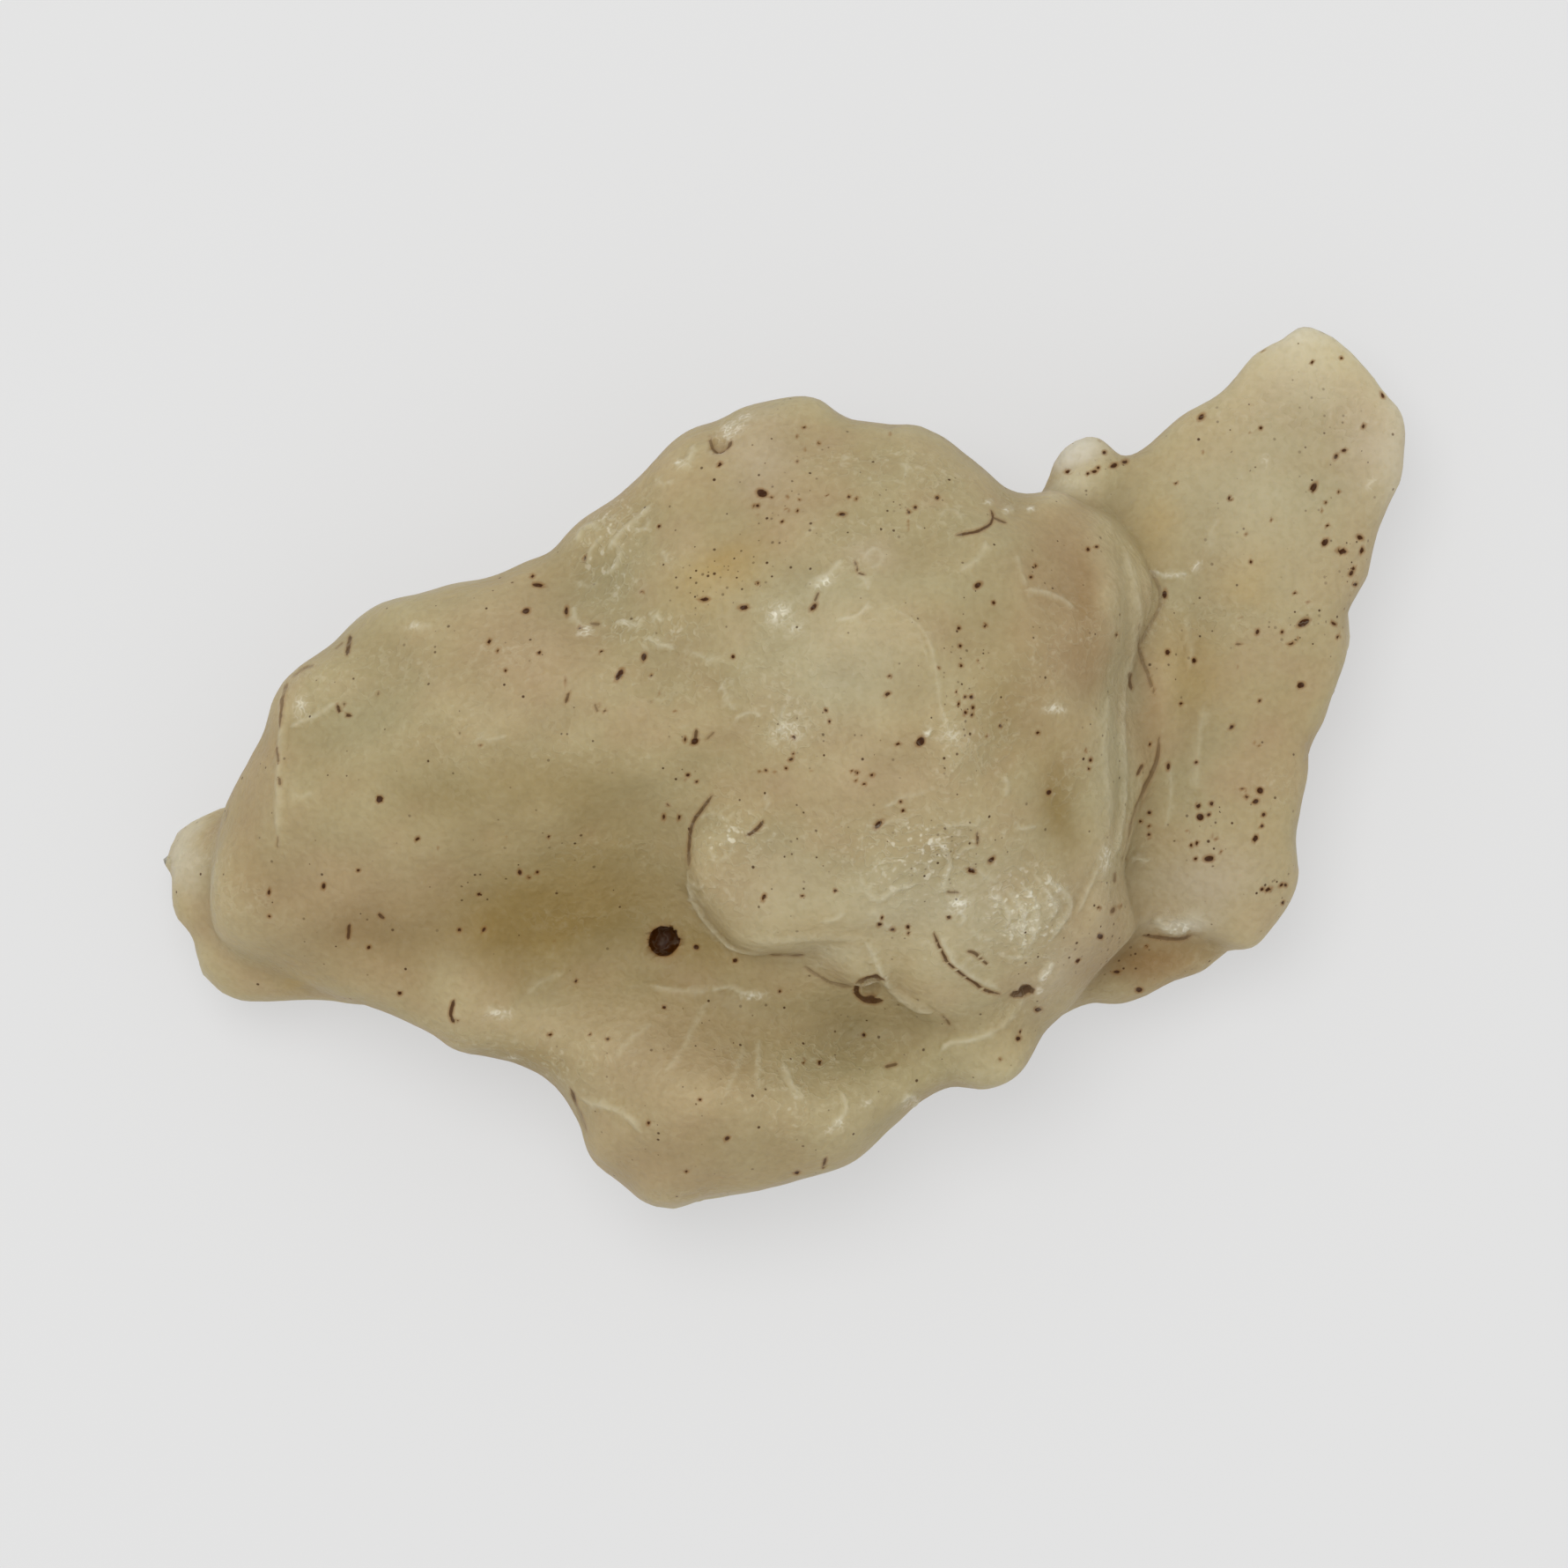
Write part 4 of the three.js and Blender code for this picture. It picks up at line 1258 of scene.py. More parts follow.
# Hair cracks: line, width and ink.
CRACKS = (
    (((4.44, -8.72), (3.8, -8.8), (3.36, -9.04), (3.28, -9.4), (3.64, -9.76), (4.44, -9.8)), 0.1, 1.0),
    (((3.64, -9.0), (4.0, -8.92), (4.36, -8.76)), 0.13, 0.9),
    (((10.24, -9.52), (10.64, -9.48), (11.04, -9.36), (11.28, -9.28)), 0.13, 0.85),
    (((-3.2, -0.48), (-3.72, -1.16), (-4.12, -1.84), (-4.28, -2.64), (-4.28, -3.76)), 0.06, 0.75),
    (((-1.68, -2.32), (-1.24, -2.04), (-0.92, -1.68)), 0.06, 0.85),
    (((6.72, -6.64), (6.92, -7.2), (7.28, -7.88), (7.84, -8.44), (8.44, -8.88), (9.08, -9.32),
      (9.72, -9.48)), 0.05, 0.9),
    (((8.2, -7.52), (8.68, -7.68), (9.24, -8.2)), 0.05, 0.75),
    (((7.2, -10.48), (7.52, -10.88)), 0.04, 0.5),
    (((7.76, 11.16), (8.72, 11.36), (9.16, 11.6), (9.4, 11.96), (9.32, 12.32)), 0.05, 0.9),
    (((9.4, 11.96), (9.68, 11.84), (10.0, 11.72)), 0.04, 0.7),
    (((3.16, 10.0), (3.32, 9.48), (3.6, 9.36)), 0.04, 0.7),
    (((0.88, -8.24), (1.36, -8.56), (2.16, -9.0), (3.04, -9.16)), 0.06, 0.35),
    (((-0.64, -7.68), (0.08, -7.68), (0.88, -7.72)), 0.05, 0.6),
    (((-9.8, 4.8), (-9.68, 4.2), (-9.8, 3.6)), 0.05, 0.75),
    (((-8.24, 3.6), (-8.0, 3.12)), 0.05, 0.8),
    (((-8.52, 3.6), (-8.36, 3.2)), 0.04, 0.5),
    (((-14.92, -9.76), (-15.08, -10.24), (-15.0, -10.72), (-14.76, -10.68)), 0.07, 1.0),
    (((-19.64, -6.36), (-19.68, -6.72), (-19.76, -7.04)), 0.06, 0.9),
    (((-18.4, -5.84), (-18.12, -6.08)), 0.06, 0.9),
    (((-22.52, 4.72), (-22.6, 3.96), (-22.72, 2.56)), 0.05, 0.65),
    (((-22.88, 1.68), (-22.8, 0.96)), 0.05, 0.6),
    (((-22.72, 0.24), (-22.68, -0.08)), 0.04, 0.6),
    (((-22.84, -2.32), (-22.88, -2.88)), 0.04, 0.35),
    (((-22.24, 4.88), (-21.8, 5.24), (-21.32, 5.36)), 0.06, 0.7),
    (((-19.64, 6.72), (-19.76, 5.84)), 0.07, 0.85),
    (((-20.32, 6.12), (-20.0, 6.4)), 0.04, 0.5),
    (((-20.12, 3.6), (-19.96, 3.2), (-19.52, 3.08)), 0.06, 0.95),
    (((-19.84, 3.68), (-19.72, 3.48)), 0.04, 0.6),
    (((-23.64, 2.6), (-24.32, 1.48), (-24.72, 0.52), (-25.2, -0.64), (-25.4, -1.44),
      (-25.68, -2.08)), 0.06, 0.6),
    (((-25.68, -2.08), (-25.88, -3.2), (-26.04, -5.0), (-25.96, -6.16), (-25.64, -7.12)), 0.06, 0.3),
    (((-18.4, 3.96), (-18.24, 4.16)), 0.04, 0.5),
    (((-9.68, -13.8), (-9.4, -14.6), (-9.12, -15.4), (-9.04, -16.08)), 0.06, 0.85),
    (((1.92, -16.88), (1.76, -17.44)), 0.05, 0.9),
    (((4.6, -12.8), (5.12, -12.68)), 0.06, 0.7),
    (((17.04, 2.08), (16.88, 0.96), (16.4, -0.08), (15.92, -1.28), (15.6, -2.64),
      (15.44, -3.6)), 0.08, 0.55),
    (((15.96, 0.4), (16.24, 0.88)), 0.07, 0.8),
    (((15.6, 5.04), (15.76, 4.32)), 0.07, 0.75),
    (((16.0, 7.28), (16.08, 6.2), (16.4, 5.2), (16.8, 4.0)), 0.07, 0.35),
    (((16.24, -6.88), (17.2, -7.04), (18.0, -7.08), (18.52, -6.92)), 0.06, 0.6),
    (((14.96, -4.0), (14.92, -4.44)), 0.06, 0.85),
    (((16.4, 10.0), (16.96, 9.04), (17.12, 8.24), (16.56, 7.12), (16.08, 6.16)), 0.07, 0.25),
    (((20.4, 7.6), (20.8, 7.6)), 0.05, 0.5),
    (((20.48, 6.44), (20.84, 6.28)), 0.05, 0.7),
    (((1.56, 8.56), (1.36, 8.16)), 0.04, 0.6),
    (((-3.92, 2.44), (-4.0, 1.88)), 0.06, 0.8),
    (((-3.48, 2.0), (-3.12, 2.32)), 0.04, 0.4),
    (((-8.72, 7.24), (-8.28, 7.2)), 0.05, 0.5),
    (((8.64, -2.16), (8.72, -2.72)), 0.05, 0.8),
    (((7.32, -4.84), (7.84, -4.84)), 0.04, 0.5),
    (((-3.0, 15.04), (-3.28, 15.28), (-3.36, 15.68)), 0.06, 0.6),
    (((-3.0, 15.0), (-2.56, 15.2), (-2.4, 15.48)), 0.07, 0.85),
)

# Round specks: their middles, by radius.
ROUND_SPECKS = {
    0.04: (
        (6.9, 5.2), (0.6, 14.5),
    ),
    0.05: (
        (0.9, -12.6), (-8.8, -11.3), (-0.6, 12.9), (11.1, 9.3), (5.5, 11.6), (1.9, 13.0), (3.0, 0.6),
        (0.8, -5.0), (0.9, 16.1), (0.6, 15.7), (0.9, 15.1), (1.6, 15.4), (0.7, 12.8), (5.5, 12.3),
        (5.5, 11.8), (5.5, 11.4), (2.0, 2.8), (0.4, 1.4), (-0.8, 0.6), (-0.4, 0.5), (0.1, 0.7),
        (1.2, 0.5), (3.2, 0.2), (4.1, 0.4), (13.7, 0.7), (7.7, 4.1), (8.0, 3.1), (9.1, 2.2), (8.9, 5.1),
        (8.7, 5.5), (-3.9, 0.1), (-4.9, 3.2), (-5.9, 3.7), (-5.2, -0.9), (5.2, -0.8), (4.4, -6.0),
        (0.9, -12.5), (-8.1, -11.9),
    ),
    0.06: (
        (-13.6, 1.7), (-15.5, -2.9), (-19.2, -3.9), (-23.3, -6.0), (-12.4, -2.4), (-10.6, -2.4),
        (-11.5, -4.2), (-11.1, -4.0), (-4.4, -17.5), (-6.1, -15.3), (-3.8, -14.2), (0.1, 12.3),
        (-0.1, 11.8), (0.6, 12.3), (-6.0, 4.9), (-9.2, 7.0), (-6.4, 8.6), (-5.6, 11.6), (-5.5, 4.1),
        (-1.2, 9.0), (-1.2, 12.0), (3.9, 0.4), (7.8, 7.0), (7.9, 6.2), (7.9, 5.3), (7.8, 3.6),
        (8.1, 3.2), (8.4, 3.1), (9.7, 2.6), (14.1, 10.7), (11.3, 9.8), (2.9, 12.9), (3.3, 12.8),
        (5.9, 12.4), (5.6, 12.2), (4.7, 15.8), (3.6, 0.0), (14.2, -5.6), (16.5, -7.4), (16.2, -1.7),
        (16.6, -1.9), (16.6, -2.3), (16.6, -2.6), (16.6, 1.8), (18.3, -2.2), (18.5, -2.8), (18.7, -3.4),
        (21.0, -0.6), (22.8, -4.6), (21.6, 1.8), (21.6, 3.8), (18.7, 1.0), (21.2, 15.9), (19.0, 15.1),
        (24.6, 12.8), (24.4, 12.4), (22.1, 12.0), (21.2, 10.1), (22.6, 6.9), (23.4, 6.6), (25.2, 6.7),
        (20.7, 5.3), (25.4, 19.4), (14.3, 14.4), (13.8, 14.1), (0.1, 12.9), (-1.2, 12.5), (1.9, 3.3),
        (-1.1, 0.5), (13.6, 1.5), (13.8, 1.1), (8.1, 3.9), (8.4, 3.4), (-4.4, 0.1), (5.3, -1.2),
        (5.6, -6.7), (-8.0, -11.5), (10.7, -11.2),
    ),
    0.07: (
        (-12.9, 6.0), (-12.5, 5.1), (-11.0, 5.9), (-18.8, -7.4), (-13.8, -5.0), (-14.7, -6.6),
        (-10.4, -7.0), (-17.4, -9.5), (-9.4, -8.9), (-5.4, -10.1), (-0.2, -9.4), (3.6, -11.4),
        (-1.4, 12.5), (-8.2, 5.9), (-2.3, 5.7), (0.4, 2.1), (4.7, 4.8), (9.4, 8.1), (9.0, 7.1),
        (11.4, 2.3), (13.7, 10.6), (15.0, 6.7), (5.6, -6.4), (7.4, -6.0), (2.3, -4.8), (15.2, -5.5),
        (9.8, -12.4), (16.6, -1.3), (19.3, -1.4), (19.9, -3.1), (21.8, -1.4), (21.7, -1.9),
        (21.7, -4.8), (22.7, -5.4), (21.3, 1.9), (21.7, 16.2), (17.8, 13.7), (24.7, 11.8), (21.0, 11.3),
        (25.1, 10.5), (25.9, 9.8), (23.2, 8.7), (16.8, 4.2), (14.6, 15.1), (14.4, 15.7), (3.2, 0.5),
        (-4.3, 0.4),
    ),
    0.08: (
        (8.4, 3.9), (6.9, 12.9), (18.0, 3.6), (19.4, -0.9), (25.3, 13.3), (23.8, 8.2),
    ),
    0.09: (
        (-10.6, -11.3), (-2.2, -8.0), (10.6, -11.5), (18.8, -1.0), (18.8, -2.7), (26.0, 9.1),
        (18.6, 5.6),
    ),
    0.10: (
        (13.3, -8.0), (20.3, 13.0),
    ),
    0.11: (
        (-4.0, -7.4), (11.9, -0.4), (14.3, -6.9), (20.8, -0.3), (17.4, 6.0),
    ),
    0.13: (
        (21.6, -0.3),
    ),
    0.14: (
        (-18.2, -0.7), (18.9, -1.5),
    ),
}

# Drawn-out specks: middle, radius, stretch and turn.
LONG_SPECKS = (
    ((-11.1, 9.0), 0.09, 2.6, -8), ((-11.6, 7.8), 0.11, 1.4, 20), ((-11.4, 9.4), 0.06, 1.6, -10),
    ((-13.3, 6.4), 0.09, 1.3, 40), ((-16.5, -2.5), 0.08, 1.4, 50), ((-20.8, -4.6), 0.08, 1.5, 80),
    ((-23.3, -4.9), 0.06, 1.8, 90), ((-11.9, -4.0), 0.08, 1.5, 100), ((-13.6, -6.6), 0.06, 1.5, 60),
    ((1.6, -12.6), 0.06, 1.5, 70), ((0.6, -17.6), 0.07, 1.6, 0), ((-2.6, -16.0), 0.08, 1.4, 60),
    ((-1.0, 13.1), 0.14, 1.5, -10), ((-2.9, 14.4), 0.08, 1.5, 40), ((-6.3, 5.7), 0.1, 1.6, 80),
    ((-7.4, 4.9), 0.11, 2.2, 60), ((-1.8, 7.9), 0.09, 2.0, 10), ((-3.6, 8.3), 0.08, 2.2, 0),
    ((-4.5, 2.0), 0.08, 1.5, 90), ((-4.0, 1.9), 0.12, 1.2, 40), ((1.3, 7.9), 0.09, 1.9, 50),
    ((-9.8, 7.8), 0.08, 2.0, 85), ((-9.0, 10.2), 0.06, 1.5, 60), ((6.1, 1.9), 0.14, 1.5, 50),
    ((5.1, 1.8), 0.07, 1.4, 20), ((4.6, 4.0), 0.07, 1.5, 30), ((8.7, 8.9), 0.09, 1.6, 35),
    ((2.6, 12.1), 0.07, 1.8, 0), ((9.3, -3.4), 0.08, 1.7, 55), ((8.4, -3.9), 0.09, 1.8, -20),
    ((4.2, -1.8), 0.09, 2.0, 40), ((-0.9, -5.1), 0.07, 1.6, 70), ((11.5, -10.2), 0.09, 1.4, 0),
    ((14.9, -5.7), 0.09, 1.5, 60), ((15.4, -3.4), 0.12, 1.1, 0), ((16.2, -9.4), 0.1, 1.4, 0),
    ((15.2, -8.6), 0.06, 2.2, 0), ((17.4, 0.8), 0.07, 1.6, 90), ((19.6, -2.4), 0.08, 1.6, 110),
    ((19.3, -3.4), 0.12, 1.6, 0), ((21.4, -0.8), 0.09, 1.5, 20), ((21.4, -2.5), 0.12, 1.2, 70),
    ((22.0, -4.8), 0.09, 1.6, 30), ((22.6, -4.6), 0.06, 1.5, 30), ((20.3, 2.6), 0.07, 1.4, 30),
    ((19.0, 16.7), 0.08, 1.8, 40), ((24.1, 13.5), 0.11, 2.0, 65), ((25.5, 15.2), 0.08, 1.3, 20),
    ((25.1, 14.9), 0.07, 1.5, 60), ((24.1, 19.2), 0.07, 1.4, 0), ((26.4, 16.3), 0.07, 1.4, 50),
    ((27.3, 17.7), 0.07, 1.6, 110), ((24.6, 11.0), 0.12, 1.4, 60), ((25.4, 10.6), 0.14, 1.4, -20),
    ((26.2, 11.2), 0.09, 1.4, -20), ((26.3, 10.6), 0.08, 1.6, 80), ((25.8, 9.6), 0.07, 1.5, 60),
    ((23.6, 7.3), 0.14, 1.8, 30), ((21.5, 6.9), 0.07, 1.4, 80), ((23.0, 6.4), 0.07, 1.6, 0),
    ((25.0, 7.3), 0.06, 1.8, -30), ((23.5, 4.5), 0.12, 1.3, 10), ((17.3, 8.6), 0.09, 1.8, 90),
    ((21.8, 19.8), 0.06, 1.6, 20), ((14.1, 14.2), 0.07, 1.6, 20), ((15.0, 14.5), 0.09, 1.5, 20),
    ((15.5, 14.7), 0.07, 1.6, 20), ((12.9, 14.2), 0.07, 1.5, 0), ((0.3, 1.1), 0.06, 1.4, 30),
    ((-5.4, -1.5), 0.05, 2.0, 80), ((-4.7, -1.5), 0.05, 2.0, 80), ((4.3, -6.3), 0.07, 1.3, 50),
    ((4.9, -6.5), 0.07, 1.3, -30), ((-6.1, -15.3), 0.05, 1.6, 90),
)

# Fine dust in pinholes: where it lies, and what share of the finish's cells holds a pinhole there.
DUST = mounds(
    ("left saddle", (-13.2, 6.4), (3.1, 2.0), 0.15),
    ("left lobe", (-19.6, 0.4), (3.4, 3.1), 0.07),
    ("left low", (-13.2, -4.8), (3.7, 2.4), 0.22),
    ("crest right", (0.0, 12.0), (1.7, 2.4), 0.43),
    ("stain", (-2.8, 9.2), (1.7, 1.0), 1.00),
    ("crown dots", (8.1, 4.8), (0.8, 2.7), 0.84),
    ("right crown", (12.4, 10.0), (1.7, 2.0), 0.24),
    ("crown top", (5.2, 12.0), (0.8, 1.5), 0.54),
    ("middle", (2.8, 1.2), (3.1, 1.4), 0.28),
    ("brow", (0.4, -3.6), (2.7, 2.0), 0.19),
    ("chin", (6.8, -2.8), (2.4, 1.7), 0.43),
    ("valley", (-2.8, -10.4), (5.4, 1.7), 0.16),
    ("lower lobe", (-5.2, -14.8), (3.4, 2.0), 0.19),
    ("lower right", (4.4, -11.2), (4.1, 1.7), 0.12),
    ("strap", (13.2, -7.2), (2.0, 2.0), 0.23),
    ("fin spots", (19.2, -2.2), (0.8, 1.1), 1.00),
    ("fin spots beside", (21.6, -1.2), (0.8, 1.1), 1.00),
    ("fin end", (22.2, -4.8), (0.9, 0.7), 1.00),
    ("fin middle", (18.0, 6.0), (1.7, 2.0), 0.30),
    ("fin edge", (25.4, 10.0), (0.8, 1.5), 1.00),
    ("fin edge below", (23.6, 7.2), (1.4, 1.0), 0.51),
    ("fin top", (24.4, 16.4), (2.4, 2.7), 0.18),
    ("fin", (21.2, 13.2), (3.1, 3.1), 0.11),
    ("right foot", (16.4, -8.0), (2.0, 0.8), 0.47),
    ("flank", (14.4, 1.6), (1.0, 2.7), 0.21),
    ("bud line", (14.4, 14.5), (0.8, 0.3), 1.00),
)

BUBBLES = (
    Bubble((-5.44, -7.12), 0.7, 0.8, 1.0),
    Bubble((3.95, -9.3), 0.42, 0.3, 0.1),
    Bubble((10.9, -9.35), 0.3, 0.2, 0.1),
    Bubble((-2.95, 15.3), 0.4, 0.3, 0.2),
)

# Bruises: name, middle, reach, strength and turn. Those on the crest, the chip, the right crown, the chin
# and its end, the lower lobe and the fin's lip and crease lie where light glints, and their white is
# painted highlight.
BRUISES = (
    ("crest", (-0.2, 7.6), (0.4, 0.36), 1.0),
    ("crest beside", (0.5, 7.0), (0.32, 0.24), 0.6),
    ("crest streak", (1.8, 9.0), (0.56, 0.16), 0.8, 30),
    ("chip", (-2.4, 16.0), (0.52, 0.32), 1.0, 25),
    ("chip end", (-1.8, 16.6), (0.36, 0.2), 0.5, 25),
    ("right crown", (12.1, 3.4), (0.4, 0.18), 1.0, -8),
    ("step", (-8.9, 6.9), (0.28, 0.2), 0.8),
    ("facet", (-21.8, 3.4), (0.28, 0.44), 0.7),
    ("middle", (0.2, 2.4), (0.64, 0.52), 0.45),
    ("chin", (7.8, -5.4), (0.4, 0.4), 0.9),
    ("chin spot", (9.6, -4.7), (0.28, 0.16), 0.9),
    ("chin end", (11.5, -9.3), (0.14, 0.14), 1.0),
    ("strap", (11.8, -8.6), (0.16, 0.48), 0.7, -25),
    ("fin lip", (18.0, -6.6), (0.52, 0.24), 0.8),
    ("fin crease glint", (18.7, 9.8), (0.16, 0.16), 1.0),
    ("fin crease", (17.4, 9.5), (0.64, 0.12), 0.6),
    ("lower lobe", (2.5, -15.4), (0.2, 0.24), 1.0),
    ("lower lobe beside", (2.1, -15.6), (0.12, 0.12), 0.9),
    ("lower right", (5.7, -14.4), (0.36, 0.24), 0.6),
    ("lower left edge", (-12.3, -12.4), (0.24, 0.1), 0.7),
    ("left low", (-12.9, -10.4), (0.56, 0.28), 0.5),
    ("valley rim", (-1.4, -9.6), (0.56, 0.16), 0.6),
    ("chin grain left", (9.4, -5.0), (0.32, 0.48), 0.3),
    ("chin grain", (10.7, -6.2), (0.56, 0.88), 0.35),
    ("chin grain right", (12.0, -5.2), (0.48, 0.72), 0.2),
    ("crown line", (7.6, 2.1), (0.48, 0.36), 0.4),
    ("pit lip", (6.4, 2.3), (0.16, 0.24), 0.5),
    ("crown spots", (9.2, 12.7), (0.16, 0.12), 0.6),
    ("crown spots beside", (10.0, 12.3), (0.16, 0.12), 0.6),
    ("crown spots right", (11.1, 12.4), (0.16, 0.12), 0.5),
    ("crest left", (-4.6, 14.4), (0.36, 0.24), 0.5),
    ("left crest", (-16.6, 7.1), (0.36, 0.16), 0.4),
    ("flank foot", (14.5, -3.3), (0.24, 0.56), 0.6, -10),
    ("fin edge", (26.8, 13.8), (0.28, 0.2), 0.5),
    ("fin streak", (21.9, 14.6), (0.16, 0.36), 0.3),
    ("lower dash", (3.8, -14.5), (0.2, 0.1), 0.7),
)

# Fine crinkles in the skin of the glass: where they lie, and how strongly. Where they are strongest, the
# finish also paints glints of light on them.
CRINKLES = mounds(
    ("chin", (10.8, -5.6), (1.9, 2.6), 0.72, 0, 2),
    ("chin left", (5.8, -3.6), (2.6, 2.2), 0.7, 0, 2),
    ("crest shoulder", (-7.9, 10.2), (1.7, 2.6), 0.7, 0, 2),
    ("crest step", (-5.8, 6.9), (2.6, 0.8), 0.6, 0, 2),
    ("crest middle", (0.2, 2.6), (2.0, 1.5), 0.6),
    ("crest bruise", (-0.2, 7.6), (1.2, 1.0), 0.6),
    ("crown", (8.6, 1.4), (2.4, 2.2), 0.5),
    ("crown top", (5.6, 13.2), (3.6, 1.8), 0.3),
    ("right crown", (13.0, 6.6), (1.9, 1.6), 0.4),
    ("brow", (-2.6, -2.6), (1.6, 1.4), 0.6),
    ("lower lobe", (0.6, -13.4), (3.4, 2.2), 0.45),
    ("lower left", (-8.6, -12.4), (2.4, 1.6), 0.35),
    ("left saddle", (-13.4, 5.6), (2.8, 2.4), 0.25),
    ("fin lip", (17.9, -6.2), (1.0, 0.6), 0.5),
)


def all_marks() -> list[Mark]:
    """Makes every mark on the face.

    Returns:
        The marks, in the order that they are pressed.
    """
    specks = [Speck(at, radius) for radius, places in ROUND_SPECKS.items() for at in places]
    specks += [Speck(*row) for row in LONG_SPECKS]
    wrinkles = [Wrinkle(*row) for row in WRINKLES]
    cracks = [Crack(*row) for row in CRACKS]
    return [*BUBBLES, *wrinkles, *[Bruise(*row) for row in BRUISES], *cracks, *specks]


# ----------------------
# Colour


def linear(red: int, green: int, blue: int) -> Colour:
    """A screen colour, 0 to 255, as the linear colour that a shader takes."""
    parts = [value / 255 for value in (red, green, blue)]
    return tuple(part / 12.92 if part <= 0.04045 else ((part + 0.055) / 1.055) ** 2.4 for part in parts)


class Tone(Enum):
    """The tones of the glass and of what lies on it."""

    HONEY = linear(172, 154, 114)
    MOSS = linear(166, 155, 118)
    ROSE = linear(170, 148, 113)
    OLIVE = linear(147, 125, 75)
    BARK = linear(143, 115, 73)
    LILAC = linear(180, 165, 140)
    STRAW = linear(174, 148, 92)
    CREAM = linear(198, 189, 160)
    AMBER = linear(136, 96, 48)
    # pearl: painted light on thin glass, and a painted highlight on the fin's lip
    PEARL = linear(206, 201, 189)
    INK = linear(66, 32, 0)
    # the bruises' frost, and the white of painted glints
    FROST_AND_GLINT = linear(236, 232, 214)


